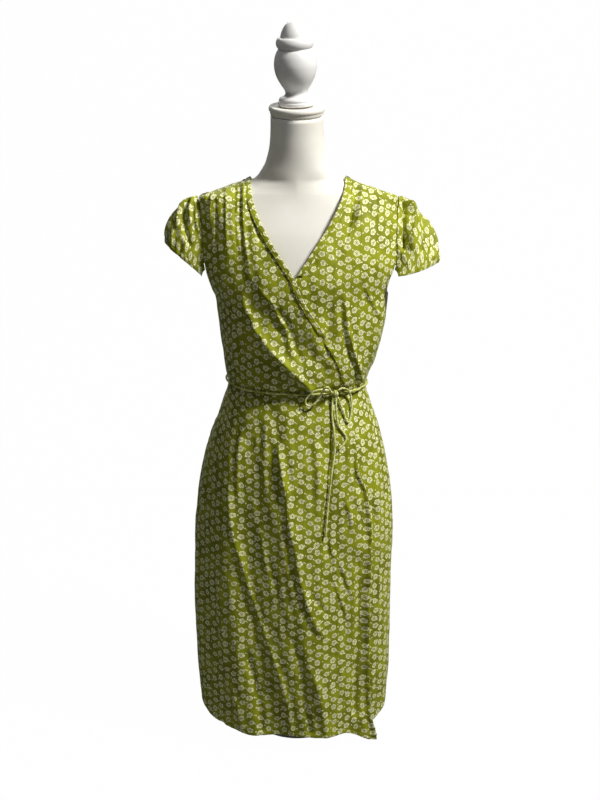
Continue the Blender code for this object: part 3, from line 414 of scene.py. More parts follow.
def smooth_route(points, spacing):
    """Even points along a smooth curve through the given ones."""
    points = np.array(points, float)
    padded = np.vstack([2 * points[0] - points[1], points, 2 * points[-1] - points[-2]])
    dense = []
    for i in range(1, len(padded) - 2):
        p0, p1, p2, p3 = padded[i - 1 : i + 3]
        bend, twist = 2 * p0 - 5 * p1 + 4 * p2 - p3, 3 * p1 - p0 - 3 * p2 + p3
        for w in np.linspace(0, 1, 16, endpoint=False):
            dense.append(0.5 * (2 * p1 + (p2 - p0) * w + bend * w**2 + twist * w**3))
    dense = np.array([*dense, points[-1]])
    run = run_along(dense)
    count = max(4, int(round(run[-1] / spacing)) + 1)
    at = np.linspace(0, run[-1], count)
    return np.stack([np.interp(at, run, dense[:, k]) for k in range(dense.shape[1])], axis=-1)


# ---- Creases and finer relief


def soft_noise(u, v, cell_u, cell_v, seed):
    """Smooth seeded noise from -1 to 1 over lengths in metres."""
    table = np.random.default_rng(seed).uniform(-1, 1, (NOISE_CELLS, NOISE_CELLS))
    x, y = np.broadcast_arrays(np.asarray(u) / cell_u + 1000, np.asarray(v) / cell_v + 1000)
    i, j = np.floor(x).astype(int), np.floor(y).astype(int)
    a, b = smooth_step(x - i), smooth_step(y - j)
    i0, i1, j0, j1 = (k % NOISE_CELLS for k in (i, i + 1, j, j + 1))
    low = table[i0, j0] * (1 - a) + table[i1, j0] * a
    high = table[i0, j1] * (1 - a) + table[i1, j1] * a
    return low * (1 - b) + high * b


def relief(pattern, u, v):
    """Noise over the cloth: a pattern is how far out it goes, its cells' two lengths and its seed."""
    out, cell_u, cell_v, seed = pattern
    return out * soft_noise(u, v, cell_u, cell_v, seed)


def edge_relief(pattern, run):
    """Noise along one length only: a pattern is how far out it goes, its cell's length and its seed."""
    out, cell, seed = pattern
    return out * soft_noise(run, run * 0, cell, 1.0, seed)


def near_seam(height):
    return abs(height - WAIST) < 0.03 or height > 1.085 or height < HEM + 0.03


def crease_lines(creases, behind=False):
    """The creases' routes on the base form: (out, width, trough, points, normals, end fades)."""
    lines = []
    for out, width, trough, places in creases:
        across, height = smooth_route(np.array(places) * MM, 6 * MM).T
        angle = angle_at(across, height)
        if behind:
            angle = 360 - angle
        fades = [SHORT_FADE if near_seam(height[end]) else LONG_FADE for end in (0, -1)]
        path, normals = form_point(angle, height), form_normal(angle, height)
        lines.append((out * CREASE_OUT * MM, width * CREASE_WIDTH * MM, trough, path, normals, fades))
    return lines


def nearest_on(path, normals, spots):
    """For each spot the signed distance from a route, the place along it, and the route's whole length."""
    nearest = np.full(len(spots), np.inf)
    signed, place = np.zeros(len(spots)), np.zeros(len(spots))
    run = 0.0
    for i in range(len(path) - 1):
        step = path[i + 1] - path[i]
        length = np.linalg.norm(step)
        w = np.clip((spots - path[i]) @ step / length**2, 0, 1)
        away = spots - path[i] - w[:, None] * step
        distance = np.linalg.norm(away, axis=1)
        nearer = distance < nearest
        nearest[nearer] = distance[nearer]
        lee = np.sign(away @ np.cross(step, normals[i]))
        signed[nearer] = (distance * np.where(lee == 0, 1, lee))[nearer]
        place[nearer] = (run + w * length)[nearer]
        run += length
    return signed, place, run


def crease_offset(lines, points):
    """How far the creases move each point out: crests steeper on the side away from the key light."""
    flat = points.reshape(-1, 3)
    total = np.zeros(len(flat))
    for number, (out, width, trough, path, normals, fades) in enumerate(lines):
        reach = 4 * width
        inside = np.all((flat > path.min(axis=0) - reach) & (flat < path.max(axis=0) + reach), axis=1)
        chosen = np.flatnonzero(inside)
        if not len(chosen):
            continue
        signed, place, run = nearest_on(path, normals, flat[chosen])
        first, last = (min(fade, 0.45 * run) for fade in fades)
        ends = smooth_step((place + 0.002) / first) * smooth_step((run - place + 0.002) / last)
        uneven = 1 + 0.22 * np.sin(place * 31 + number * 2.1) + 0.12 * np.sin(place * 83 + number)
        side = np.where(signed > 0, 0.85 * width, 1.05 * width)
        crest = np.exp(-(np.abs(signed) / side) ** 1.7)
        dip = 0.7 * trough * bell(signed - 1.9 * width, width)
        total[chosen] += out * ends * uneven * (crest - dip)
    return total.reshape(points.shape[:-1])


def gathers(girth, height, seam, reach, depth, seed):
    """Small uneven pleats that run out of a seam."""
    away = np.abs(np.asarray(height) - seam)
    warp = girth + 0.006 * soft_noise(girth, height, 0.05, 0.06, seed)
    strength = 0.55 + edge_relief((0.45, 0.04, seed + 2), girth)
    own_reach = reach * (1 + edge_relief((0.6, 0.017, seed + 3), girth))
    fade = np.exp(-((away / np.maximum(own_reach, 0.004)) ** 1.3))
    return edge_relief((depth, 0.0065, seed + 1), warp) * strength * fade


GIRTH_STEP, HEIGHT_STEP = 2.0, 0.01
GIRTH_ANGLES = np.arange(-8.0, 368.5, GIRTH_STEP)
GIRTH_HEIGHTS = np.linspace(0.0, 1.13, 114)


def length_tables():
    """Lengths round the base form from its centre front at each height, and up its front from the floor."""
    rim = form_point(GIRTH_ANGLES[None, :], GIRTH_HEIGHTS[:, None])
    spans = np.linalg.norm(np.diff(rim, axis=1), axis=2)
    girths = np.concatenate([np.zeros((len(GIRTH_HEIGHTS), 1)), np.cumsum(spans, axis=1)], axis=1)
    girths -= girths[:, [int(np.flatnonzero(GIRTH_ANGLES == 90.0)[0])]]
    return girths, run_along(form_point(90.0, GIRTH_HEIGHTS))


GIRTH_TABLE, PROFILE = length_tables()


def cloth_place(angle, height):
    """Lengths round and up the base form, in metres, from the centre front and from the floor."""
    x = np.clip((np.asarray(angle) - GIRTH_ANGLES[0]) / GIRTH_STEP, 0, len(GIRTH_ANGLES) - 1.001)
    y = np.clip(np.asarray(height) / HEIGHT_STEP, 0, len(GIRTH_HEIGHTS) - 1.001)
    x, y = np.broadcast_arrays(x, y)
    i, j = x.astype(int), y.astype(int)
    a, b = x - i, y - j
    low = GIRTH_TABLE[j, i] * (1 - a) + GIRTH_TABLE[j, i + 1] * a
    high = GIRTH_TABLE[j + 1, i] * (1 - a) + GIRTH_TABLE[j + 1, i + 1] * a
    return low * (1 - b) + high * b, np.interp(height, GIRTH_HEIGHTS, PROFILE)


FOLDS = {"skirt": SKIRT_FOLDS, "bodice": BODICE_FOLDS}
CREASES = {
    ("skirt", False): crease_lines(FRONT_SKIRT_CREASES),
    ("bodice", False): crease_lines(FRONT_BODICE_CREASES),
    ("skirt", True): crease_lines(BACK_SKIRT_CREASES, behind=True),
    ("bodice", True): crease_lines(BACK_BODICE_CREASES, behind=True),
}


def dressed(angle, height, lift, part, behind=False):
    """The cloth's outer face: the base form with large folds, creases, gathers and a soft rumple."""
    base, normal = form_point(angle, height), form_normal(angle, height)
    girth, rise = cloth_place(angle, height)
    from_waist = np.abs(height - WAIST)
    calm, near = smooth_step(from_waist / 0.05), smooth_step(from_waist / 0.02)
    out = fold_offset(FOLDS[part], angle, height) * calm
    out += gathers(girth, height, WAIST, *WAIST_GATHERS[part])
    if part == "bodice":
        out += gathers(girth, height, *SHOULDER_GATHERS) * smooth_step((height - 0.97) / 0.05)
    out += relief(RUMPLE[part], girth + RUMPLE_LEAN[part] * rise, rise) * calm
    out += crease_offset(CREASES[part, behind], base) * smooth_step(from_waist / 0.010)
    out += relief(CREPE, girth, rise) * near
    out += relief(STREAKS[part], girth + STREAK_LEAN * rise, rise) * near
    return base + normal * (out + lift)[..., None]


# ---- Making meshes


def add_mesh(name, points, faces, material, places=None):
    """A smooth mesh, with its cloth lengths as a UV map where they are given."""
    mesh = bpy.data.meshes.new(name)
    mesh.from_pydata([tuple(point) for point in points], [], faces)
    mesh.validate()
    mesh.materials.append(material)
    if places is not None:
        corners = np.empty(len(mesh.loops), dtype=np.int32)
        mesh.loops.foreach_get("vertex_index", corners)
        layer = mesh.uv_layers.new(name="Cloth")
        layer.data.foreach_set("uv", np.asarray(places, dtype=np.float32)[corners].ravel())
    mesh.shade_smooth()
    piece = bpy.data.objects.new(name, mesh)
    bpy.context.scene.collection.objects.link(piece)
    return piece


def grid_faces(rows, columns, first=0, flip=False):
    faces = []
    for i in range(rows - 1):
        for j in range(columns - 1):
            a = first + i * columns + j
            quad = (a, a + 1, a + columns + 1, a + columns)
            faces.append(quad[::-1] if flip else quad)
    return faces


def tube_faces(rings, sides):
    """The faces of a tube of rings, closed at both ends."""
    faces = []
    for i in range(rings - 1):
        for k in range(sides):
            a, b = i * sides + k, i * sides + (k + 1) % sides
            faces.append((a, b, b + sides, a + sides))
    faces.append(tuple(reversed(range(sides))))
    faces.append(tuple(range((rings - 1) * sides, rings * sides)))
    return faces


def apply_modifier(piece, name):
    bpy.ops.object.select_all(action="DESELECT")
    bpy.context.view_layer.objects.active = piece
    piece.select_set(True)
    bpy.ops.object.modifier_apply(modifier=name)


def add_cloth(name, grids, material, flips, start):
    """A thin closed shell from one or more grids of (points, lengths round, lengths up)."""
    points, places, faces = [], [], []
    for (grid, round_length, up_length), flip in zip(grids, flips):
        rows, columns = grid.shape[:2]
        faces += grid_faces(rows, columns, sum(len(part) for part in points), flip)
        points.append(grid.reshape(-1, 3))
        places.append(np.stack([round_length.ravel() + start[0], up_length.ravel() + start[1]], axis=1))
    piece = add_mesh("cloth_" + name, np.concatenate(points), faces, material, np.concatenate(places))
    if len(grids) > 1:
        weld = piece.modifiers.new("centre line", "WELD")
        weld.merge_threshold = 0.1 * MM
        apply_modifier(piece, "centre line")
    wall = piece.modifiers.new("wall", "SOLIDIFY")
    wall.thickness = CLOTH
    wall.offset = -1.0
    wall.use_even_offset = False
    apply_modifier(piece, "wall")
    return piece


def fine_ends(count, length, band, fine):
    """Shares from 0 to 1: count of them, then closer ones in the last band of a length."""
    start = np.linspace(0, 1 - band / length, count)
    return np.concatenate([start, np.linspace(1 - band / length, 1, fine + 1)[1:]])


def hem_relief(distance, band, seed, along):
    """A turned and stitched edge: a slight step, a stitch line and small puckers on it."""
    step = STITCH_STEP * smooth_step((band - distance) / (1.2 * MM))
    groove = STITCH_GROOVE * bell(distance - band + 1.4 * MM, 1.1 * MM)
    pucker = relief((STITCH_PUCKER, 0.006, 0.02, seed), along, distance) * bell(distance, 1.7 * band)
    return step + groove + pucker


# ---- Panels


def panel_rows(lower, upper):
    """Shares up a bodice panel: the underarm is at half, and rows are closer towards the shoulder."""
    above = 0.5 + 0.5 * (1 - (1 - np.linspace(0, 1, upper)) ** 1.5)
    rows = np.concatenate([np.linspace(0, 0.5, lower, endpoint=False), above])
    rows[np.abs(rows - BACK_NECK_SHARE).argmin()] = BACK_NECK_SHARE
    return rows


def halved(rows, foot, middle, top):
    """Heights that pass the middle one at half of the rows' shares."""
    below = foot + (middle - foot) * rows * 2
    above = middle + (top - middle) * (rows * 2 - 1)
    return np.where(rows < 0.5, below, above)


def outer_edge(rows):
    height = halved(rows, WAIST, UNDERARM, SHOULDER_TIP)
    return height, np.where(rows < 0.5, 0.0, smooth_value(ARMHOLE, height, 1))


def front_inner_edge(rows, edge_table, side):
    height = halved(rows, WAIST, FRONT_CROSSING, NECK_POINT)
    across = smooth_value(edge_table, height, 1)
    degrees = angle_at(-across, height) if side < 0 else 180 - angle_at(across, height)
    degrees[-1] = 0.0
    return height, degrees


def back_inner_edge(rows, side):
    w = np.clip((rows - BACK_NECK_SHARE) / (1 - BACK_NECK_SHARE), 0, 1)
    below = WAIST + (BACK_NECK - WAIST) * rows / BACK_NECK_SHARE
    height = np.where(rows < BACK_NECK_SHARE, below, BACK_NECK + (NECK_POINT - BACK_NECK) * w**2.2)
    neck_half = OVER_EDGE[-1][1] if side < 0 else UNDER_EDGE[-1][1]
    half = smooth_value(DRESS_SECTIONS, height, 1 if side < 0 else 2)
    across = neck_half * np.sin(w * math.pi / 2)
    degrees = 90 - np.degrees(np.arcsin(np.clip(across / half, 0, 1) ** (SQUARENESS / 2)))
    degrees[-1] = 0.0
    return height, degrees


def bodice_grid(side, columns, rows, edge_table=None):
    """Angles and heights of a front panel, or of half the back where no edge table is given."""
    outer_height, outer_degrees = outer_edge(rows)
    if edge_table:
        inner_height, inner_degrees = front_inner_edge(rows, edge_table, side)
    else:
        inner_height, inner_degrees = back_inner_edge(rows, side)
    s = np.linspace(0, 1, columns)[None, :]
    height = outer_height[:, None] * (1 - s) + inner_height[:, None] * s
    degrees = outer_degrees[:, None] * (1 - s) + inner_degrees[:, None] * s
    if edge_table:
        return (degrees if side < 0 else 180 - degrees), height
    return (360 - degrees if side < 0 else 180 + degrees), height


def hold_seams(points, side_shift, top_shift, bottom_shift):
    """Moves a panel's side, shoulder and waist edges off the seams, so that panels don't touch there."""
    points[:, 0, 1] += side_shift * SEAM_GAP
    points[-1, :, 1] += top_shift * SEAM_GAP * 1.5
    points[0, :, 2] += bottom_shift * SEAM_GAP / 2
    return points


BINDING_PROFILE = [
    # in from the edge, out from the cloth, in millimetres
    (0.3, -0.5), (-0.5, 0.1), (-0.6, 0.8), (0.2, 1.4), (1.3, 1.6), (2.2, 1.25), (3.2, 1.5), (5.0, 1.4),
    (6.8, 1.5), (7.9, 1.2), (8.8, 1.5), (9.7, 1.2), (10.1, 0.5), (10.0, -0.2),
]


def add_binding(name, edge, inner, normals, material, flip, place):
    """A doubled strip on a free edge, with a stitch line along each side."""
    inwards = inner - edge
    inwards -= normals * np.sum(inwards * normals, axis=1, keepdims=True)
    inwards /= np.linalg.norm(inwards, axis=1, keepdims=True)
    run = run_along(edge)
    rows = []
    for into, out in BINDING_PROFILE:
        swell = relief((0.55 * MM, 0.006, 0.005, 71), run, np.full_like(run, into * MM))
        rows.append(edge + inwards * into * MM + normals * (out * MM * BINDING_HEIGHT + swell)[:, None])
    grid = np.stack(rows, axis=1)
    faces = grid_faces(len(edge), len(rows), flip=flip)
    across = np.array([row[0] for row in BINDING_PROFILE]) * MM
    places = np.stack(np.broadcast_arrays(across[None, :] + place, run[:, None]), axis=-1).reshape(-1, 2)
    return add_mesh("sewn_" + name, grid.reshape(-1, 3), faces, material, places)


def inner_points(grid, distance):
    """The point of each row that lies this far in from its last column."""
    found = []
    for row in grid:
        run = np.cumsum(np.linalg.norm(np.diff(row[::-1], axis=0), axis=1))
        found.append(row[::-1][min(int(np.searchsorted(run, distance)) + 1, len(row) - 1)])
    return np.array(found)


def bodice_front(side, columns, name, table, start, rows, cloth):
    """One front: the cloth's lift, the groove behind its binding and the puckers that the binding draws."""
    angle, height = bodice_grid(side, columns, rows, table)
    if side < 0:
        lift = over_lift(angle) * over_fade(height)
    else:
        covered = smooth_step((150 - angle) / 30)
        lift = UNDER_BODICE_LIFT * covered * smooth_step((0.95 - height) / 0.05)
    girth, rise = cloth_place(angle, height)
    steps = np.linalg.norm(np.diff(form_point(angle, height), axis=1), axis=2)
    to_edge = np.cumsum(steps[:, ::-1], axis=1)[:, ::-1]
    from_edge = np.concatenate([to_edge, np.zeros((len(rows), 1))], axis=1)
    lift = lift - 1.1 * MM * bell(from_edge - 12.2 * MM, 1.9 * MM)
    puckers = edge_relief((NECK_PUCKER_OUT, NECK_PUCKER_CELL, NECK_PUCKER_SEED + side), rise)
    lift = lift + puckers * bell(from_edge, 0.030)
    grid = hold_seams(dressed(angle, height, lift, "bodice"), -1, -1, 1)
    panel = add_cloth(name, [(grid, girth, rise)], cloth, [side > 0], start)
    shown = slice(2, -2) if side < 0 else np.flatnonzero(height[:, -1] > UNDER_BINDING_FOOT)[:-2]
    edge, inner = grid[shown, -1], inner_points(grid, BINDING_WIDTH)[shown]
    normals = form_normal(angle, height)[shown, -1]
    strip = name.replace("bodice_front", "neck_binding")
    return {name: panel, strip: add_binding(strip, edge, inner, normals, cloth, side < 0, 0.3 * side)}


def bodice_back(rows, cloth):
    """The back, from two halves that are welded at the centre, and its binding."""
    halves, edges, inners = [], [], []
    for side in (-1, 1):
        angle, height = bodice_grid(side, 92, rows)
        grid = hold_seams(dressed(angle, height, 0.0 * height, "bodice", behind=True), 1, 1, 1)
        halves.append((grid, *cloth_place(angle, height)))
        neck = np.flatnonzero(rows >= BACK_NECK_SHARE)[:-2]
        edges.append(grid[neck, -1])
        inners.append(inner_points(grid, BINDING_WIDTH)[neck])
    panel = add_cloth("bodice_back", halves, cloth, [True, False], (0.13, 0.37))
    edge = np.concatenate([edges[0][::-1], edges[1][1:]])
    inner = np.concatenate([inners[0][::-1], inners[1][1:]])
    out = np.cross(np.gradient(edge, axis=0), inner - edge)
    out /= np.linalg.norm(out, axis=1, keepdims=True)
    out *= np.sign(out[:, 1:2] + 1e-9)
    strip = "neck_binding_back"
    return {"bodice_back": panel, strip: add_binding(strip, edge, inner, out, cloth, False, 0.9)}


def build_bodice(cloth):
    rows = panel_rows(72, 96)
    made = bodice_front(-1, 120, "bodice_front_right", OVER_EDGE, (0.0, 0.0), rows, cloth)
    made.update(bodice_front(1, 112, "bodice_front_left", UNDER_EDGE, (0.4, 0.2), rows, cloth))
    made.update(bodice_back(rows, cloth))
    return made


def hem_line(angle, corner_angle=None):
    """The hem's height: higher at the sides, uneven, and low at the over front's free corner."""
    away = np.abs((np.asarray(angle, float) + 180) % 360 - 180)
    line = HEM + (HEM_SIDE_RISE - HEM) * (1 - smooth_step(away / HEM_SIDE_SPREAD))
    line = line + HEM_LEFT_RISE * smooth_step((away - HEM_LEFT_START) / HEM_LEFT_SPREAD)
    line = line + edge_relief(HEM_UNEVEN, np.radians(away) * HEM_RADIUS)
    if corner_angle is not None:
        line = line - HEM_CORNER_DROP * bell(angle - corner_angle, HEM_CORNER_SPREAD)
    return line


def skirt_panel(name, angle, height, lift, cloth, flip, start, seams):
    """One skirt panel, held off its side seams by the given shifts and under the waist seam."""
    girth, rise = cloth_place(angle, height)
    grid = dressed(angle, height, lift, "skirt", behind=name.endswith("back"))
    for column, shift in seams:
        grid[:, column, 1] += shift
    grid[0, :, 2] -= SEAM_GAP / 2
    return add_cloth(name, [(grid, girth, rise)], cloth, [flip], start)


def over_skirt(t, cloth):
    """The wrapped front: it stands off the under one, and its free edge rolls and flares at the hem."""
    s = fine_ends(140, 0.45, 14 * MM, 12)[None, :]
    edge_height = WAIST + (HEM - HEM_CORNER_DROP - WAIST) * t
    edge_angle = angle_at(smooth_value(OVER_SKIRT_EDGE, edge_height, 1), edge_height)
    angle = edge_angle * s
    bottom = hem_line(angle, edge_angle[-1])
    height = WAIST + (bottom - WAIST) * t
    from_edge, from_hem = (edge_angle - angle) * GIRTH_PER_DEGREE, height - bottom
    girth, rise = cloth_place(angle, height)
    lift = over_lift(angle) + 4 * MM * smooth_step((angle - 118) / 22) * smooth_step((0.6 - height) / 0.4)
    lift = lift + hem_relief(from_hem, HEM_BAND, 82, girth) + hem_relief(from_edge, FREE_EDGE_BAND, 83, rise)
    lift = lift + edge_relief(EDGE_PUCKERS, rise) * bell(from_edge, 0.014) * bell(height - 0.34, 0.09)
    lift = lift + 9 * MM * bell(from_edge, 0.032) * bell(from_hem, 0.045)
    roll = 4.2 * MM * bell(from_edge, 0.0055) - 2.0 * MM * bell(from_edge - 0.012, 0.006)
    lift = lift + roll * smooth_step((0.68 - height) / 0.10)
    beads = edge_relief(EDGE_BEADS, rise) * bell(from_edge, 0.008)
    lift = lift + beads * smooth_step((0.56 - height) / 0.08)
    seams = [(0, -SEAM_GAP)]
    return skirt_panel("skirt_front_right", angle, height, lift, cloth, True, (0.05, 0.11), seams)


def under_skirt(t, cloth):
    s = np.linspace(0, 1, 92)[None, :]
    edge_height = WAIST + (HEM - WAIST) * t
    edge_angle = angle_at(-smooth_value(UNDER_SKIRT_EDGE, edge_height, 1), edge_height)
    angle = 180 * (1 - s) + edge_angle * s
    bottom = hem_line(angle)
    height = WAIST + (bottom - WAIST) * t
    lift = UNDER_LIFT * smooth_step((150 - angle) / 40)
    lift = lift + hem_relief(height - bottom, HEM_BAND, 85, cloth_place(angle, height)[0])
    seams = [(0, -SEAM_GAP)]
    return skirt_panel("skirt_front_left", angle, height, lift, cloth, False, (0.44, 0.27), seams)


def back_skirt(t, cloth):
    angle = np.broadcast_to(np.linspace(180, 360, 160)[None, :], (len(t), 160))
    bottom = hem_line(angle)
    height = WAIST + (bottom - WAIST) * t
    lift = hem_relief(height - bottom, HEM_BAND, 86, cloth_place(angle, height)[0])
    seams = [(0, SEAM_GAP / 2), (-1, SEAM_GAP / 2)]
    return skirt_panel("skirt_back", angle, height, lift, cloth, True, (0.23, 0.05), seams)


def build_skirt(cloth):
    t = fine_ends(212, WAIST - HEM, 16 * MM, 13)[:, None]
    fronts = {"skirt_front_right": over_skirt(t, cloth), "skirt_front_left": under_skirt(t, cloth)}
    return {**fronts, "skirt_back": back_skirt(t, cloth)}


# ---- Sleeves

SLEEVES = {
    # side, the hem's tip across and up, its spread, its ends' drop, its curve's powers, the pull
    # of the cloth at the hem, and the print's start
    "cap_sleeve_right": (-1, 0.2480, 1.003, 0.060, 0.011, 1.0, 0.85, 0.30, (0.21, 0.43)),
    "cap_sleeve_left": (1, 0.2690, 0.970, 0.064, 0.010, 0.8, 1.1, 0.22, (0.61, 0.19)),
}
SLEEVE_ACROSS = 150
# Places along the seam as shares, and how far out
SLEEVE_GATHERS = [
    (0.22, 0.0022), (0.34, -0.0020), (0.44, 0.0026), (0.56, 0.0024), (0.67, -0.0020), (0.78, 0.0022),
]
SLEEVE_GATHER_WIDTH = 0.05
# Out, half width, trough, and places in hundredths along the seam from the front end and down from the seam
SLEEVE_CREASES = {
    "cap_sleeve_right": [
        (2.6, 4.0, 0.8, [(46, 4), (40, 16), (33, 24), (24, 28)]),
        (2.4, 4.5, 0.8, [(49, 10), (45, 32), (38, 48), (30, 58)]),
        (1.7, 3.5, 0.7, [(43, 2), (36, 8), (27, 12), (18, 13)]),
        (-2.4, 5.0, 0.0, [(42, 30), (34, 40), (24, 46), (14, 50)]),
        (1.8, 6.0, 0.5, [(50, 30), (48, 60), (44, 94)]),
        (1.5, 5.0, 0.5, [(34, 64), (30, 84), (28, 99)]),
        (-1.6, 5.0, 0.0, [(22, 60), (20, 80), (20, 99)]),
        (2.0, 5.0, 0.6, [(56, 6), (62, 20), (70, 28)]),
        (1.8, 6.0, 0.5, [(54, 30), (60, 60), (64, 95)]),
        (-1.8, 6.0, 0.0, [(68, 40), (74, 70), (78, 95)]),
    ],
    "cap_sleeve_left": [
        (-5.6, 6.0, 0.0, [(46, 10), (36, 13), (24, 16), (10, 24)]),
        (3.2, 5.0, 0.3, [(48, 16), (40, 30), (28, 36), (14, 44)]),
        (-3.0, 5.0, 0.0, [(48, 34), (40, 48), (30, 56), (18, 64)]),
        (2.2, 6.0, 0.4, [(50, 44), (44, 64), (36, 78), (26, 88)]),
        (1.4, 4.0, 0.5, [(42, 84), (38, 92), (34, 99)]),
        (2.2, 5.0, 0.6, [(55, 8), (60, 24), (68, 32)]),
        (-2.0, 6.0, 0.0, [(58, 36), (64, 60), (70, 90)]),
        (1.6, 6.0, 0.5, [(72, 30), (78, 60), (82, 90)]),
    ],
}


def sleeve_grid(sleeve, around, v):
    """The sleeve's plain face and normals: curves from the armhole seam to the hem, with soft gathers."""
    side, tip_across, tip_height, spread, drop, across_power, height_power, pull, _ = sleeve
    u = np.linspace(0, 1, around)
    rise = np.sin(np.pi * u)
    seam_height = SLEEVE_END + (SHOULDER_TIP - SLEEVE_END) * rise
    degrees = smooth_value(ARMHOLE, seam_height, 1)
    if side < 0:
        angle = np.where(u <= 0.5, degrees, 360 - degrees)
    else:
        angle = np.where(u <= 0.5, 180 - degrees, 180 + degrees)
    seam = form_point(angle, seam_height)
    start = seam + form_normal(angle, seam_height) * SEAM_GAP + np.array([side, 0.0, 0.0]) * 4 * SEAM_GAP
    end_across, end_height = abs(seam[0, 0]) + 0.007, SLEEVE_END - drop
    hem_across = side * (end_across + (tip_across - end_across) * rise**across_power)
    hem_height = end_height + (tip_height - end_height) * rise**height_power
    hem = np.stack([hem_across, -spread * np.cos(np.pi * u), hem_height], axis=-1)
    reach = np.linalg.norm(hem - start, axis=1, keepdims=True)
    lean = 0.12 * rise - 0.2 * (1 - rise)
    outward = np.stack([side * np.ones_like(u), -0.25 * np.cos(np.pi * u), lean], axis=-1)
    outward /= np.linalg.norm(outward, axis=1, keepdims=True)
    upward = np.stack([side * 0.10 * np.ones_like(u), -0.12 * np.cos(np.pi * u), np.ones_like(u)], axis=-1)
    first, second = start + outward * reach * 0.20, hem + upward * reach * pull
    v = v[:, None, None]
    points = (1 - v) ** 3 * start + 3 * v * (1 - v) ** 2 * first + 3 * v * v * (1 - v) * second + v**3 * hem
    fade = np.sin(np.pi * np.minimum(v[..., 0] * 1.1 + 0.02, 1)) ** 0.8
    swell = np.zeros(points.shape[:2])
    for place, out in SLEEVE_GATHERS:
        swell += out * bell(u[None, :] - place, SLEEVE_GATHER_WIDTH) * fade
    normal = np.cross(np.gradient(points, axis=1), np.gradient(points, axis=0))
    normal *= -side / np.maximum(np.linalg.norm(normal, axis=-1, keepdims=True), 1e-9)
    return points + normal * swell[..., None], normal


def sleeve_lines(name, points, normal, v):
    """The sleeve's creases as routes on its own face."""
    lines = []
    for out, width, trough, places in SLEEVE_CREASES[name]:
        along, down = smooth_route(np.array(places) / 100, 0.04).T
        i = np.clip(np.searchsorted(v, down), 0, len(v) - 1)
        j = np.clip((along * (SLEEVE_ACROSS - 1)).astype(int), 0, SLEEVE_ACROSS - 1)
        sizes = (out * SLEEVE_CREASE_OUT * MM, width * MM, trough)
        lines.append((*sizes, points[i, j], normal[i, j], (0.012, 0.015)))
    return lines


def build_sleeves(cloth):
    made = {}
    v = fine_ends(44, 0.085, 14 * MM, 14)
    for name, sleeve in SLEEVES.items():
        points, normal = sleeve_grid(sleeve, SLEEVE_ACROSS, v)
        lines = sleeve_lines(name, points, normal, v)
        run = np.linalg.norm(np.diff(points, axis=1), axis=2).mean(axis=0)
        along = np.concatenate([[0], np.cumsum(run)])[None, :] + 0 * v[:, None]
        reach = np.linalg.norm(np.diff(points, axis=0), axis=2)
        down = np.concatenate([np.zeros((1, SLEEVE_ACROSS)), np.cumsum(reach, axis=0)])
        seam_calm = smooth_step(down / 0.006)
        comb = edge_relief(SLEEVE_COMB, along + 0.004 * soft_noise(along, down, 0.02, 0.03, 91))
        out = comb * np.exp(-((down / 0.020) ** 1.3)) * smooth_step(down / 0.003)
        out = out + crease_offset(lines, points) * seam_calm
        out = out + hem_relief(down[-1:] - down, SLEEVE_BAND, 93, along)
        out = out + relief(SLEEVE_CREPE, along, down) * seam_calm
        grid = points + normal * out[..., None]
        made[name] = add_cloth(name, [(grid, along, -down)], cloth, [sleeve[0] < 0], sleeve[-1])
    return made


# ---- Tie and bow

TIE_DIAMETER = 4.0 * MM
TIE_HEIGHT = 0.7365
TIE_SLOPE = -0.035
TIE_CLEAR = 0.9 * MM
WAIST_BAND = 4 * MM
KNOT_ACROSS, KNOT_HEIGHT, KNOT_OUT = 0.0712, 0.7335, 0.0082
KNOT_SIZE = (0.0064, 0.0048, 0.0062)
# The knot's two turns of the tie: shift across, lean and radius
KNOT_WRAPS = ((-0.0016, 0.30, 0.0058), (0.0019, 0.12, 0.0055))
TIE_SHIFT = 1.8 * MM
TIE_SIDES = 14
# Across and up from the knot's centre, and out from the cloth, in millimetres
BOW = {
    "bow_loop_right": [
        (-5.2, 3.9, 7.6), (-11.0, 7.8, 8.8), (-19.5, 10.4, 8.4), (-30.5, 11.4, 8.0),
        (-43.5, 5.2, 8.0), (-53.2, -4.2, 7.6), (-55.6, -13.4, 7.2), (-49.0, -19.8, 7.6),
        (-38.6, -15.2, 9.4), (-29.6, -4.2, 11.6), (-23.6, 8.6, 12.6), (-19.4, 16.4, 12.4),
        (-14.8, 18.2, 13.4), (-11.0, 13.2, 14.6), (-8.6, 7.2, 14.4), (-5.4, 3.2, 11.6),
    ],
    "bow_loop_left": [
        (4.9, 6.2, 8.4), (11.4, 9.8, 8.8), (20.2, 7.6, 10.2), (26.9, -0.4, 12.4),
        (30.4, -13.8, 10.4), (31.4, -29.4, 7.6), (30.4, -44.6, 6.2), (26.6, -55.4, 5.4),
        (21.6, -52.6, 5.4), (17.0, -39.6, 6.0), (12.0, -25.4, 7.0), (7.2, -13.2, 8.8),
        (4.8, -6.6, 9.4),
    ],
    "tie_end_long": [
        (-4.0, -6.0, 8.0), (-5.2, -13.0, 6.8), (-5.8, -26.0, 5.2), (-5.8, -38.0, 4.4),
        (-4.6, -52.0, 4.0), (-2.0, -70.0, 3.8), (-0.6, -88.0, 3.8), (-0.8, -108.0, 3.8),
        (-3.2, -128.0, 3.8), (-6.0, -148.0, 3.8), (-8.6, -172.0, 3.8), (-11.6, -202.0, 3.8),
        (-14.2, -230.0, 3.8), (-16.2, -254.0, 3.8), (-17.2, -272.0, 3.8),
    ],
    "tie_end_short": [
        (0.4, -6.6, 10.6), (1.2, -15.0, 10.2), (1.8, -30.0, 9.0), (3.6, -46.0, 6.6),
        (6.8, -60.0, 5.0), (14.0, -71.0, 4.4), (20.4, -81.0, 4.2), (20.6, -89.0, 4.2),
        (14.6, -96.0, 4.2), (7.0, -103.4, 4.2),
    ],
}


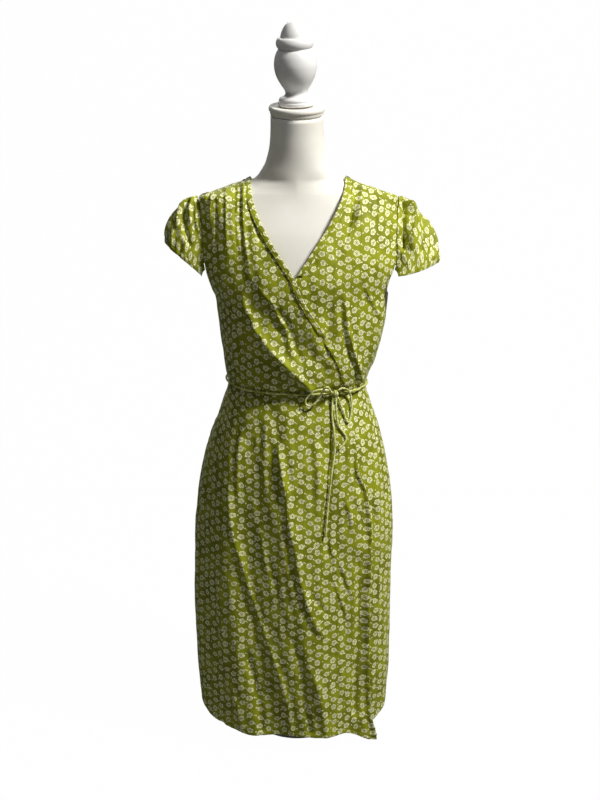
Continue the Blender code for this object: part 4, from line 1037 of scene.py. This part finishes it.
def before_skirt(across, height, out):
    """A point in front of the over front, by its X and height and its distance out from the cloth."""
    cloth_height = min(height, WAIST) if height < WAIST + WAIST_BAND else height
    angle = float(angle_at(across, cloth_height))
    folds = SKIRT_FOLDS if cloth_height <= WAIST + 1e-6 else BODICE_FOLDS
    calm = float(smooth_step(abs(cloth_height - WAIST) / 0.05))
    fold = float(fold_offset(folds, angle, cloth_height)) * calm + float(over_lift(angle))
    point = form_point(angle, cloth_height) + form_normal(angle, cloth_height) * fold
    return np.array([across, point[1] - out, height])


def add_tube(name, path, material):
    """A sewn tube along a route, a little uneven, with a seam along it and closed ends."""
    along = np.gradient(path, axis=0)
    along /= np.linalg.norm(along, axis=1, keepdims=True)
    side = np.cross(along[0], [0.0, -1.0, 0.25])
    run = run_along(path)
    points = []
    for place, forward, length in zip(path, along, run):
        side = side - forward * (side @ forward)
        side /= np.linalg.norm(side)
        out = np.cross(side, forward)
        for k in range(TIE_SIDES):
            turn = 2 * math.pi * k / TIE_SIDES
            seam = 1 - 0.07 * math.exp(-(((turn - 2.2) / 0.3) ** 2))
            uneven = 1 + 0.03 * math.sin(length / 0.0042) * math.sin(turn * 2 + length / 0.011)
            radius = TIE_DIAMETER / 2 * seam * uneven
            points.append(place + (side * math.cos(turn) + out * math.sin(turn)) * radius)
    around = np.tile(np.arange(TIE_SIDES) * math.pi * TIE_DIAMETER / TIE_SIDES, len(path))
    places = [around + len(name) * 0.031, np.repeat(run, TIE_SIDES) + len(name) * 0.057]
    return add_mesh(name, points, tube_faces(len(path), TIE_SIDES), material, np.stack(places, axis=1))


def bow_paths():
    paths = {}
    for name, route in BOW.items():
        steps = np.array(route) * MM
        placed = [before_skirt(KNOT_ACROSS + across, KNOT_HEIGHT + up, out) for across, up, out in steps]
        paths[name] = smooth_route(placed, 2.0 * MM)
    return paths


def waist_path():
    """The tie's way round the waist, from one side of the knot to the other."""
    start = float(angle_at(KNOT_ACROSS + KNOT_SIZE[0] - TIE_SHIFT, KNOT_HEIGHT))
    end = float(angle_at(KNOT_ACROSS - KNOT_SIZE[0] - 2 * TIE_SHIFT, KNOT_HEIGHT)) + 360
    angles = np.linspace(start, end, 320)
    height = TIE_HEIGHT + TIE_SLOPE * form_point(angles, TIE_HEIGHT)[:, 0]
    wrapped = angles % 360
    over = np.where(wrapped < 150, over_lift(wrapped), 0.0) * smooth_step((156 - wrapped) / 14)
    near_knot = bell(angles - start, 4.0) + bell(angles - end, 4.0)
    out = over + TIE_DIAMETER / 2 + TIE_CLEAR + 2.2 * MM * near_knot
    return form_point(angles, height) + form_normal(angles, height) * out[:, None]


def start_part(material, operation, **sizes):
    """A new primitive from bpy.ops, with nothing else selected."""
    bpy.ops.object.select_all(action="DESELECT")
    operation(**sizes)
    piece = bpy.context.active_object
    piece.data.materials.append(material)
    return piece


def build_knot(cloth):
    """The bow's knot: a small soft core with two turns of the tie over it."""
    centre = Vector(before_skirt(KNOT_ACROSS, KNOT_HEIGHT, KNOT_OUT))
    core = start_part(cloth, bpy.ops.mesh.primitive_uv_sphere_add, segments=40, ring_count=24, radius=1.0)
    core.data.transform(Matrix.LocRotScale(centre, None, Vector(KNOT_SIZE)))
    wraps = []
    for shift, lean, size in KNOT_WRAPS:
        rings = {"major_segments": 48, "minor_segments": 16, "major_radius": size, "minor_radius": 1.8 * MM}
        wrap = start_part(cloth, bpy.ops.mesh.primitive_torus_add, **rings)
        turn = Euler((lean * 0.4, math.pi / 2 + lean * 0.3, lean)).to_matrix().to_4x4()
        squeeze = Matrix.Diagonal((1.0, 0.74, 1.0, 1.0))
        wrap.data.transform(Matrix.Translation(centre + Vector((shift, 0, 0))) @ squeeze @ turn)
        wraps.append(wrap)
    bpy.ops.object.select_all(action="DESELECT")
    for piece in (*wraps, core):
        piece.select_set(True)
    bpy.context.view_layer.objects.active = core
    bpy.ops.object.join()
    bpy.ops.object.shade_smooth()
    core.name = core.data.name = "knot"
    layer = core.data.uv_layers.active or core.data.uv_layers.new(name="Cloth")
    layer.name = "Cloth"
    corners = np.empty(len(core.data.loops) * 2, dtype=np.float32)
    layer.data.foreach_get("uv", corners)
    layer.data.foreach_set("uv", corners * 0.03 + 0.31)
    return core


# ---- Dress form and stand

FORM_SECTIONS = [
    # height, half width, front, back, forward, exponent
    (0.5000, 0.1440, 0.0960, 0.0940, 0.000, 2.2),
    (0.5040, 0.1500, 0.1010, 0.0990, 0.000, 2.2),
    (0.5160, 0.1550, 0.1055, 0.1050, 0.000, 2.2),
    (0.5600, 0.1590, 0.1090, 0.1110, 0.000, 2.2),
    (0.6100, 0.1520, 0.1050, 0.1060, 0.000, 2.2),
    (0.6700, 0.1320, 0.0950, 0.0880, 0.000, 2.2),
    (0.7330, 0.1200, 0.0880, 0.0760, 0.000, 2.2),
    (0.8000, 0.1250, 0.0950, 0.0840, 0.000, 2.2),
    (0.8700, 0.1390, 0.1060, 0.0930, 0.000, 2.2),
    (0.9300, 0.1480, 0.1070, 0.0960, 0.000, 2.2),
    (0.9800, 0.1550, 0.0980, 0.0950, 0.000, 2.2),
    (1.0200, 0.1620, 0.0860, 0.0900, 0.000, 2.2),
    (1.0500, 0.1650, 0.0740, 0.0820, 0.000, 2.2),
    (1.0700, 0.1640, 0.0660, 0.0770, 0.000, 2.1),
    (1.0820, 0.1600, 0.0600, 0.0730, 0.000, 1.9),
    (1.0900, 0.1540, 0.0570, 0.0700, 0.000, 1.75),
    (1.0955, 0.1465, 0.0555, 0.0680, 0.000, 1.65),
    (1.1000, 0.1370, 0.0540, 0.0660, 0.000, 1.55),
    (1.1060, 0.1190, 0.0530, 0.0640, 0.000, 1.5),
    (1.1120, 0.1020, 0.0520, 0.0620, 0.000, 1.5),
    (1.1190, 0.0825, 0.0510, 0.0600, 0.000, 1.6),
    (1.1260, 0.0730, 0.0505, 0.0580, 0.001, 1.8),
    (1.1360, 0.0660, 0.0500, 0.0560, 0.002, 1.95),
    (1.1480, 0.0590, 0.0495, 0.0535, 0.003, 2.0),
    (1.1620, 0.0545, 0.0490, 0.0510, 0.005, 2.0),
    (1.1800, 0.0505, 0.0485, 0.0495, 0.007, 2.0),
    (1.2050, 0.0485, 0.0480, 0.0485, 0.010, 2.0),
    (1.2340, 0.0480, 0.0480, 0.0480, 0.014, 2.0),
]
NECK_BEND_START = 1.126
NECK_TILT = 9.0
FINIAL_LEAN = -2.0
# Turned pieces, as outlines of radius and height in millimetres, from the top down
CAP_OUTLINE = [
    (0, 16.2), (36, 16.2), (43.5, 16.3), (45.6, 17.3), (47.6, 17.6), (49.6, 16.8), (51.0, 14.6), (51.4, 12.0),
    (50.9, 9.6), (49.4, 7.6), (48.9, 5.6), (48.7, 3.6), (47.6, 1.6), (46.0, 0.6), (44.6, 0), (0, 0),
]
FINIAL_OUTLINE = [
    (0, 147.0), (5.0, 146.0), (10.5, 143.6), (15.8, 139.4), (20.2, 133.2), (23.4, 126.4), (25.2, 120.0),
    (25.6, 118.4), (28.6, 118.0), (31.4, 115.6), (33.2, 111.4), (33.6, 107.2), (32.6, 102.8), (30.6, 99.6),
    (30.2, 98.0), (33.4, 93.0), (36.6, 85.0), (38.4, 75.0), (38.4, 66.0), (36.4, 55.0), (32.4, 45.0),
    (27.2, 36.0), (22.6, 29.0), (20.4, 24.0), (20.2, 20.4), (22.6, 17.0), (28.4, 14.2), (31.2, 12.0),
    (32.2, 9.0), (31.6, 7.4), (33.6, 6.6), (34.2, 3.6), (33.6, 0.6), (33.0, 0), (0, 0),
]
BASE_OUTLINE = [
    (0, 26), (22, 26), (25, 24), (26.5, 19), (30, 13.5), (38, 10.8),
    (82, 8.6), (88, 7.2), (90, 4.6), (90, 0), (0, 0),
]
POLE_RADIUS = 0.016
BASE_TOP = 0.026
TURNED_SIDES, TORSO_SIDES = 96, 112
SMALLEST_RADIUS = 0.05 * MM
SHARP_EDGE = math.radians(38)
FINIAL_GROOVES = (1.9, 3.4, 4.9, 16.4)
CAP_TOP = 17.5 * MM
# The torso's front and lean are evened out over this height either side, and the front is set back a little
NECK_BLEND = 0.042
NECK_SETBACK, NECK_SETBACK_HEIGHT, NECK_SETBACK_SPREAD = 2.5 * MM, 1.095, 0.055


def neck_tilt(height):
    """How far the neck has leant forward at this height, as a turn about X."""
    top = FORM_SECTIONS[-1][0]
    share = float(smooth_step((height - NECK_BEND_START) / (top - NECK_BEND_START)))
    return math.radians(NECK_TILT) * share


def blended(height, column, share):
    """A column of the form's sections, evened out over heights near this one by the given share."""
    value = float(smooth_value(FORM_SECTIONS, height, column))
    around = height + np.linspace(-NECK_BLEND, NECK_BLEND, 15)
    return value + (float(np.mean(smooth_value(FORM_SECTIONS, around, column))) - value) * share


def build_torso(cover):
    turn = np.radians(np.arange(TORSO_SIDES) * 360 / TORSO_SIDES)
    spans = zip(FORM_SECTIONS, FORM_SECTIONS[1:])
    heights = np.unique(np.concatenate([np.linspace(row[0], after[0], 5) for row, after in spans]))
    points = []
    for height in heights:
        half, back, exponent = (float(smooth_value(FORM_SECTIONS, height, k)) for k in (1, 3, 5))
        near_neck = smooth_step((height - 1.02) / 0.03) * smooth_step((1.21 - height) / 0.03)
        front, forward = blended(height, 2, near_neck), blended(height, 4, near_neck)
        front -= NECK_SETBACK * bell(height - NECK_SETBACK_HEIGHT, NECK_SETBACK_SPREAD)
        across, along = rounded(np.cos(turn), exponent), rounded(np.sin(turn), exponent)
        depth = np.where(along < 0, front, back)
        tilt = Matrix.Rotation(neck_tilt(height), 3, "X")
        for x, y in zip(half * across, depth * along):
            points.append(tilt @ Vector((x, y, 0.0)) + Vector((0.0, -forward, height)))
    return add_mesh("torso", points, tube_faces(len(heights), TORSO_SIDES), cover)


def turn_part(name, outline, material, smooth=True):
    """A turned piece: a disc extruded and resized ring by ring along an outline, from the bottom up."""
    rising = [(radius * MM, height * MM) for radius, height in reversed(outline)][1:-1]
    if smooth:
        rising = [tuple(place) for place in smooth_route(rising, 1.3 * MM)]
    radius, height = rising[0]
    disc = {"vertices": TURNED_SIDES, "radius": radius, "fill_type": "NGON", "location": (0, 0, height)}
    piece = start_part(material, bpy.ops.mesh.primitive_circle_add, **disc)
    bpy.ops.object.transform_apply(location=True)
    piece.name = piece.data.name = name
    bpy.ops.object.mode_set(mode="EDIT")
    bpy.ops.mesh.select_all(action="SELECT")
    for next_radius, next_height in rising[1:]:
        next_radius = max(next_radius, SMALLEST_RADIUS)
        bpy.ops.mesh.extrude_region_move(TRANSFORM_OT_translate={"value": (0, 0, next_height - height)})
        share = next_radius / radius
        bpy.ops.transform.resize(value=(share, share, 1.0), center_override=(0, 0, next_height))
        radius, height = next_radius, next_height
    bpy.ops.mesh.select_all(action="SELECT")
    bpy.ops.mesh.normals_make_consistent(inside=False)
    bpy.ops.object.mode_set(mode="OBJECT")
    bpy.ops.object.shade_smooth_by_angle(angle=SHARP_EDGE)
    return piece


def groove_rings(piece, heights, depth, width):
    """Fine turned grooves at these heights, in millimetres, before the piece is set in place."""
    for vertex in piece.data.vertices:
        cut = sum(depth * math.exp(-(((vertex.co.z / MM - height) / width) ** 2)) for height in heights)
        away = math.hypot(vertex.co.x, vertex.co.y)
        if away > 5 * MM:
            share = 1 - cut * MM / away
            vertex.co.x *= share
            vertex.co.y *= share


def build_pole(steel):
    length = FORM_SECTIONS[0][0] - BASE_TOP - 2 * SEAM_GAP
    place = (0, 0, BASE_TOP + SEAM_GAP + length / 2)
    sizes = {"vertices": 64, "radius": POLE_RADIUS, "depth": length, "location": place}
    pole = start_part(steel, bpy.ops.mesh.primitive_cylinder_add, **sizes)
    bpy.ops.object.transform_apply(location=True)
    bpy.ops.object.shade_smooth_by_angle(angle=SHARP_EDGE)
    pole.name = pole.data.name = "pole"
    return pole


def build_form(cover, paint, steel):
    """The torso, the neck cap and finial that lean with its neck, and the stand."""
    top_height, _, _, _, forward, _ = FORM_SECTIONS[-1]
    lean = Euler((math.radians(NECK_TILT), 0.0, 0.0)).to_matrix()
    cap_place = Vector((0.0, -forward, top_height)) + lean @ Vector((0.0, 0.0, SEAM_GAP))
    cap = turn_part("cap", CAP_OUTLINE, cover)
    cap.data.transform(Matrix.LocRotScale(cap_place, lean, None))
    edge_rise = FINIAL_OUTLINE[-2][0] * MM * math.sin(math.radians(abs(FINIAL_LEAN)))
    finial_place = cap_place + lean @ Vector((0.0, 0.0, CAP_TOP + SEAM_GAP + edge_rise))
    side_lean = Euler((math.radians(NECK_TILT), math.radians(FINIAL_LEAN), 0.0))
    top = turn_part("turned_finial", FINIAL_OUTLINE, paint)
    groove_rings(top, FINIAL_GROOVES, 0.4, 0.45)
    top.data.transform(Matrix.LocRotScale(finial_place, side_lean, None))
    base = turn_part("foot", BASE_OUTLINE, steel, smooth=False)
    pole = build_pole(steel)
    torso = build_torso(cover)
    return {"form_torso": torso, "neck_cap": cap, "finial": top, "stand_base": base, "stand_pole": pole}


# ---- Materials


class Graph:
    """Short calls for the nodes of one material or node group."""

    def __init__(self, tree):
        self.tree = tree

    def join(self, source, socket):
        if hasattr(source, "is_output"):
            self.tree.links.new(source, socket)
        else:
            socket.default_value = source

    def calc(self, operation, *terms):
        node = self.tree.nodes.new("ShaderNodeMath")
        node.operation = operation
        for socket, term in zip(node.inputs, terms):
            self.join(term, socket)
        return node.outputs[0]

    def sum(self, *terms):
        total = terms[0]
        for term in terms[1:]:
            total = self.calc("ADD", total, term)
        return total

    def wave(self, angle, times, shift=0.0):
        """The cosine of times the angle plus a shift."""
        return self.calc("COSINE", self.calc("MULTIPLY_ADD", angle, times, shift))

    def soft(self, value, low, high):
        """0 below low and 1 above high, smooth between."""
        node = self.tree.nodes.new("ShaderNodeMapRange")
        node.interpolation_type = "SMOOTHSTEP"
        self.join(value, node.inputs[0])
        node.inputs[1].default_value, node.inputs[2].default_value = low, high
        return node.outputs[0]

    def blend(self, share, first, second):
        node = self.tree.nodes.new("ShaderNodeMix")
        node.data_type = "RGBA"
        self.join(share, node.inputs[0])
        self.join(first, node.inputs[6])
        self.join(second, node.inputs[7])
        return node.outputs[2]

    def vector(self, *terms):
        node = self.tree.nodes.new("ShaderNodeCombineXYZ")
        for socket, term in zip(node.inputs, terms):
            self.join(term, socket)
        return node.outputs[0]

    def scatter(self, x, y, extra):
        """Four random values for the cell at x, y."""
        noise = self.tree.nodes.new("ShaderNodeTexWhiteNoise")
        noise.noise_dimensions = "3D"
        self.join(self.vector(x, y, extra), noise.inputs["Vector"])
        split = self.tree.nodes.new("ShaderNodeSeparateColor")
        self.join(noise.outputs["Color"], split.inputs[0])
        return split.outputs[0], split.outputs[1], split.outputs[2], noise.outputs["Value"]

    def noise(self, vector, scale, detail=2.0):
        node = self.tree.nodes.new("ShaderNodeTexNoise")
        self.join(vector, node.inputs["Vector"])
        node.inputs["Scale"].default_value = scale
        node.inputs["Detail"].default_value = detail
        return node.outputs["Fac"]

    def bump(self, height, distance, strength=1.0, normal=None):
        node = self.tree.nodes.new("ShaderNodeBump")
        node.inputs["Strength"].default_value = strength
        node.inputs["Distance"].default_value = distance
        self.join(height, node.inputs["Height"])
        if normal:
            self.join(normal, node.inputs["Normal"])
        return node.outputs[0]


def make_material(name, colour, roughness, **values):
    material = bpy.data.materials.new(name)
    material.use_nodes = True
    shader = material.node_tree.nodes["Principled BSDF"]
    shader.inputs["Base Color"].default_value = (*colour, 1.0)
    shader.inputs["Roughness"].default_value = roughness
    for key, value in values.items():
        shader.inputs[key.replace("_", " ")].default_value = value
    return material


REPEAT_ACROSS, REPEAT_UP = 16.2, 17.4
GROUND = (0.315, 0.342, 0.015, 1.0)
GROUND_DEEP = (0.205, 0.224, 0.008, 1.0)
# The tie's ground is the dress's ground made lighter and creamier, though the tie is the same cloth: a
# painted highlight on the thin tie
TIE_GROUND_PAINTED_HIGHLIGHT = (0.640, 0.670, 0.200, 1.0)
TIE_DEEP_PAINTED_HIGHLIGHT = (0.420, 0.450, 0.080, 1.0)
CREAM = (0.950, 0.950, 0.570, 1.0)
CREAM_SHADE = (0.780, 0.785, 0.370, 1.0)
PRINT_DARK = (0.050, 0.053, 0.012, 1.0)
SHEEN_TINT = (0.95, 1.0, 0.75, 1.0)
COVER_PALE = (0.84, 0.82, 0.76, 1.0)
COVER_DULL = (0.79, 0.765, 0.69, 1.0)
CRUMPLE_HEIGHT, CRUMPLE_SCALE = 4.0 * MM, 48.0
CRUMPLE_LEAN, CRUMPLE_STRETCH = -0.22, 0.30
THREAD = 0.42 * MM


def cell_place(graph, across, up, shift, number):
    """The place in a jittered half-drop cell, in millimetres: x, y and four random values."""
    x = graph.calc("MULTIPLY_ADD", across, 1 / (REPEAT_ACROSS * MM), shift)
    column = graph.calc("FLOOR", x)
    half = graph.calc("MULTIPLY", graph.calc("MODULO", column, 2.0), 0.5)
    y = graph.sum(graph.calc("MULTIPLY_ADD", up, 1 / (REPEAT_UP * MM), shift), half)
    row = graph.calc("FLOOR", y)
    chance = graph.scatter(column, row, number)
    local_x = graph.calc("MULTIPLY", graph.calc("SUBTRACT", x, graph.calc("ADD", column, 0.5)), REPEAT_ACROSS)
    local_y = graph.calc("MULTIPLY", graph.calc("SUBTRACT", y, graph.calc("ADD", row, 0.5)), REPEAT_UP)
    local_x = graph.sum(local_x, graph.calc("MULTIPLY_ADD", chance[0], 4.6, -2.3))
    local_y = graph.sum(local_y, graph.calc("MULTIPLY_ADD", chance[1], 5.6, -2.8))
    return local_x, local_y, chance


def away_from(graph, x, y, centre_x=0.0, centre_y=0.0):
    dx, dy = graph.calc("SUBTRACT", x, centre_x), graph.calc("SUBTRACT", y, centre_y)
    square = graph.calc("ADD", graph.calc("MULTIPLY", dx, dx), graph.calc("MULTIPLY", dy, dy))
    return graph.calc("SQRT", square)


def petal_line(graph, away, angle, size, wander, times, shift, line, gap):
    """A broken petal line at about this distance from the blossom's middle."""
    route = graph.calc("MULTIPLY_ADD", graph.wave(angle, times, shift), wander, size)
    off = graph.calc("ABSOLUTE", graph.calc("SUBTRACT", away, route))
    drawn = graph.soft(graph.calc("SUBTRACT", line, off), -0.12, 0.12)
    broken = graph.soft(graph.wave(angle, times, graph.calc("ADD", shift, 1.4)), gap, gap + 0.3)
    return graph.calc("MULTIPLY", drawn, broken)


def blossom_masks(graph, across, up):
    """The blossoms' cloth, the dark marks on them, and the distance from their middles."""
    x, y, (first, second, third, fourth) = cell_place(graph, across, up, 0.0, 1.0)
    away = away_from(graph, x, y)
    angle = graph.calc("ADD", graph.calc("ARCTAN2", y, x), graph.calc("MULTIPLY", third, 6.283))
    outline = graph.sum(
        graph.calc("MULTIPLY_ADD", fourth, 1.0, 5.0),
        graph.calc("MULTIPLY", graph.wave(angle, 5.0), 0.28),
        graph.calc("MULTIPLY", graph.wave(angle, 2.0, graph.calc("MULTIPLY", first, 5.0)), 0.45),
    )
    blossom = graph.soft(graph.calc("SUBTRACT", outline, away), -0.1, 0.35)
    core_wave = graph.wave(angle, 3.0, graph.calc("MULTIPLY", second, 6.0))
    core_edge = graph.calc("MULTIPLY_ADD", core_wave, 0.5, 1.25)
    core = graph.soft(graph.calc("SUBTRACT", core_edge, away), -0.2, 0.3)
    first_turn, second_turn = graph.calc("MULTIPLY", first, 6.0), graph.calc("MULTIPLY", second, 6.0)
    inner_ring = petal_line(graph, away, angle, 2.8, 0.60, 2.0, first_turn, 0.42, -0.85)
    outer_ring = petal_line(graph, away, angle, 4.0, 0.45, 3.0, second_turn, 0.30, -0.3)
    spokes = graph.soft(graph.calc("SUBTRACT", -0.86, graph.wave(angle, 5.0)), -0.05, 0.1)
    spokes = graph.calc("MULTIPLY", spokes, graph.soft(away, 3.0, 3.8))
    marks = graph.calc("MULTIPLY", inner_ring, 0.66)
    for mask, share in ((outer_ring, 0.45), (spokes, 0.5), (core, 0.86)):
        marks = graph.calc("MAXIMUM", marks, graph.calc("MULTIPLY", mask, share))
    return blossom, graph.calc("MULTIPLY", marks, blossom), away


def bud_mask(graph, across, up):
    """One or two small buds in each cell between the blossoms."""
    x, y, (_, _, third, fourth) = cell_place(graph, across, up, 0.5, 2.0)
    size = graph.calc("MULTIPLY_ADD", third, 0.6, 1.0)
    bud = graph.soft(graph.calc("SUBTRACT", size, away_from(graph, x, y)), -0.2, 0.25)
    away = away_from(graph, x, y, 2.7, -1.9)
    second_bud = graph.soft(graph.calc("SUBTRACT", 0.85, away), -0.2, 0.25)
    second_bud = graph.calc("MULTIPLY", second_bud, graph.calc("GREATER_THAN", fourth, 0.4))
    return graph.calc("MAXIMUM", bud, second_bud)


def print_group():
    """Small cream blossoms and buds on a yellow-green ground, over a crumpled fine plain weave."""
    group = bpy.data.node_groups.new("blossom_print", "ShaderNodeTree")
    for name, way, kind in (
        ("Ground Deep", "INPUT", "Color"),
        ("Ground Light", "INPUT", "Color"),
        ("Color", "OUTPUT", "Color"),
        ("Normal", "OUTPUT", "Vector"),
    ):
        group.interface.new_socket(name, in_out=way, socket_type="NodeSocket" + kind)
    given, result = group.nodes.new("NodeGroupInput"), group.nodes.new("NodeGroupOutput")
    graph = Graph(group)
    lengths = group.nodes.new("ShaderNodeUVMap")
    lengths.uv_map = "Cloth"
    split = group.nodes.new("ShaderNodeSeparateXYZ")
    graph.join(lengths.outputs[0], split.inputs[0])
    across, up = split.outputs[0], split.outputs[1]
    place = group.nodes.new("ShaderNodeTexCoord").outputs["Object"]

    blossom, marks, away = blossom_masks(graph, across, up)
    shade = graph.soft(graph.noise(place, 28.0), 0.35, 0.65)
    ground = graph.blend(shade, given.outputs["Ground Deep"], given.outputs["Ground Light"])
    cream = graph.blend(graph.soft(away, 2.0, 5.2), CREAM_SHADE, CREAM)
    printed = graph.calc("MAXIMUM", blossom, bud_mask(graph, across, up))
    colour = graph.blend(marks, graph.blend(printed, ground, cream), PRINT_DARK)
    graph.join(colour, result.inputs["Color"])

    turns = 2 * math.pi / THREAD
    weave = graph.calc("MULTIPLY", graph.wave(across, turns), graph.wave(up, turns))
    thread = graph.calc("MULTIPLY_ADD", graph.noise(place, 900.0), 0.8, weave)
    lean = graph.calc("MULTIPLY_ADD", up, CRUMPLE_LEAN, across)
    drawn_out = graph.vector(lean, graph.calc("MULTIPLY", up, CRUMPLE_STRETCH))
    crumple = graph.bump(graph.noise(drawn_out, CRUMPLE_SCALE, 3.0), CRUMPLE_HEIGHT)
    graph.join(graph.bump(thread, 0.05 * MM, 0.35, crumple), result.inputs["Normal"])
    return group


def print_material(name, ground_deep, ground_light, group):
    sheen = {"Sheen_Weight": 0.03, "Sheen_Roughness": 0.4, "Sheen_Tint": SHEEN_TINT}
    material = make_material(name, GROUND[:3], 0.55, Specular_IOR_Level=0.18, **sheen)
    tree = material.node_tree
    printed = tree.nodes.new("ShaderNodeGroup")
    printed.node_tree = group
    printed.inputs["Ground Deep"].default_value = ground_deep
    printed.inputs["Ground Light"].default_value = ground_light
    shader = tree.nodes["Principled BSDF"]
    tree.links.new(printed.outputs["Color"], shader.inputs["Base Color"])
    tree.links.new(printed.outputs["Normal"], shader.inputs["Normal"])
    return material


def cover_material():
    """The form's knitted cover, off-white, with a faint texture."""
    material = make_material("form_cover", (0.84, 0.82, 0.75), 0.72, Sheen_Weight=0.15)
    graph = Graph(material.node_tree)
    shader = graph.tree.nodes["Principled BSDF"]
    place = graph.tree.nodes.new("ShaderNodeTexCoord").outputs["Object"]
    soil = graph.noise(place, 14.0, 3.0)
    graph.join(graph.blend(graph.soft(soil, 0.3, 0.75), COVER_PALE, COVER_DULL), shader.inputs["Base Color"])
    graph.join(graph.bump(graph.noise(place, 700.0, 4.0), 0.15 * MM, 0.3), shader.inputs["Normal"])
    return material


# ---- Floor, lights and world

FLOOR_GLOW, FLOOR_WHITE = 0.97, 1.02
SKY_GLOW = 0.025
FLOOR_HALF_WIDTH = 3.4
# The floor's profile, back and up: level under the dress, and curving up behind
FLOOR_PROFILE = [
    (-3.2, 0.0), (0.9, 0.0), (1.3, 0.03), (1.65, 0.14), (1.95, 0.36), (2.15, 0.7), (2.25, 1.2), (2.3, 3.4),
]
LIGHTS = {
    # place, aim, size, power, colour
    "key": ((1.80, -0.96, 3.20), (0.0, 0.0, 0.95), 0.68, 132.0, (1.0, 0.985, 0.95)),
    "top": ((-0.25, -0.80, 2.60), (0.0, 0.0, 1.0), 0.5, 3.0, (1.0, 1.0, 1.0)),
    "behind": ((-0.3, 1.75, 2.55), (0.0, 0.0, 0.7), 1.5, 18.0, (1.0, 1.0, 1.0)),
    "behind_side": ((-2.2, 1.2, 1.6), (0.0, 0.0, 0.7), 1.5, 1.5, (1.0, 1.0, 1.0)),
    "fill": ((-1.2, -2.4, 1.9), (0.0, 0.0, 0.9), 1.2, 1.5, (0.96, 0.98, 1.0)),
}


def area_light(name, place, aim, size, power, colour):
    lamp = bpy.data.lights.new(name, "AREA")
    lamp.shape = "DISK"
    lamp.size = size
    lamp.energy = power
    lamp.color = colour
    light = bpy.data.objects.new(name, lamp)
    light.location = place
    light.rotation_euler = (Vector(aim) - Vector(place)).to_track_quat("-Z", "Y").to_euler()
    bpy.context.scene.collection.objects.link(light)


def build_floor():
    """A pale floor that curves up behind, and looks white to the camera."""
    profile = smooth_route(FLOOR_PROFILE, 0.06)
    wide = np.linspace(-FLOOR_HALF_WIDTH, FLOOR_HALF_WIDTH, 3)
    points = [(x, y, z) for y, z in profile for x in wide]
    pale = make_material("studio_floor", (0.27, 0.27, 0.265), 0.9, Specular_IOR_Level=0.0)
    graph = Graph(pale.node_tree)
    nodes = graph.tree.nodes
    seen, white, mix = (nodes.new("ShaderNode" + kind) for kind in ("LightPath", "Emission", "MixShader"))
    white.inputs["Color"].default_value = (1.0, 1.0, 1.0, 1.0)
    white.inputs["Strength"].default_value = FLOOR_WHITE
    graph.join(graph.calc("MULTIPLY", seen.outputs["Is Camera Ray"], FLOOR_GLOW), mix.inputs[0])
    graph.join(nodes["Principled BSDF"].outputs[0], mix.inputs[1])
    graph.join(white.outputs[0], mix.inputs[2])
    graph.join(mix.outputs[0], nodes["Material Output"].inputs["Surface"])
    floor = add_mesh("studio_floor", points, grid_faces(len(profile), 3, flip=True), pale)


def build_world():
    """A white surround that lights the dress only a little."""
    world = bpy.data.worlds.new("studio")
    bpy.context.scene.world = world
    world.use_nodes = True
    nodes, links = world.node_tree.nodes, world.node_tree.links
    sky = nodes["Background"]
    sky.inputs["Color"].default_value = (1.0, 1.0, 1.0, 1.0)
    seen, strength = nodes.new("ShaderNodeLightPath"), nodes.new("ShaderNodeMapRange")
    strength.inputs["To Min"].default_value, strength.inputs["To Max"].default_value = SKY_GLOW, 1.0
    links.new(seen.outputs["Is Camera Ray"], strength.inputs["Value"])
    links.new(strength.outputs[0], sky.inputs["Strength"])


def build_studio():
    """The floor, a key light high at the wearer's left, weak fill and light from behind, and the world."""
    build_floor()
    for name, light in LIGHTS.items():
        area_light(name, *light)
    build_world()
    bpy.context.scene.view_settings.view_transform = "Standard"
    bpy.context.scene.view_settings.look = "None"


def build_camera():
    view = bpy.data.cameras.new("camera")
    view.lens = 52.6
    view.sensor_width = 36.0
    camera = bpy.data.objects.new("camera", view)
    camera.location = (0.0057, -2.2, 1.312)
    camera.rotation_euler = (math.radians(74.27), 0.0, 0.0)
    bpy.context.scene.collection.objects.link(camera)
    bpy.context.scene.camera = camera


# ---- The whole

build_camera()
blossoms = print_group()
cloth = print_material("printed_viscose", GROUND_DEEP, GROUND, blossoms)
# The tie, bow and knot get a copy of the print with that lighter ground: a painted highlight
tie_cloth_painted_highlight = print_material("printed_viscose_tie_painted_highlight", TIE_DEEP_PAINTED_HIGHLIGHT, TIE_GROUND_PAINTED_HIGHLIGHT, blossoms)
cover = cover_material()
paint = make_material("white_paint", (0.78, 0.77, 0.76), 0.42)
steel = make_material("stand_metal", (0.80, 0.80, 0.79), 0.4, Metallic=0.2)

pieces = {}
paths = bow_paths()
for node, path in paths.items():
    pieces[node] = add_tube("sewn_" + node, path, tie_cloth_painted_highlight)
pieces["waist_tie"] = add_tube("tie_round_waist", waist_path(), tie_cloth_painted_highlight)
pieces["bow_knot"] = build_knot(tie_cloth_painted_highlight)
pieces.update(build_bodice(cloth))
pieces.update(build_skirt(cloth))
pieces.update(build_sleeves(cloth))
pieces.update(build_form(cover, paint, steel))
build_studio()

for node, piece in pieces.items():
    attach(piece, "root")
    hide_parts(node)

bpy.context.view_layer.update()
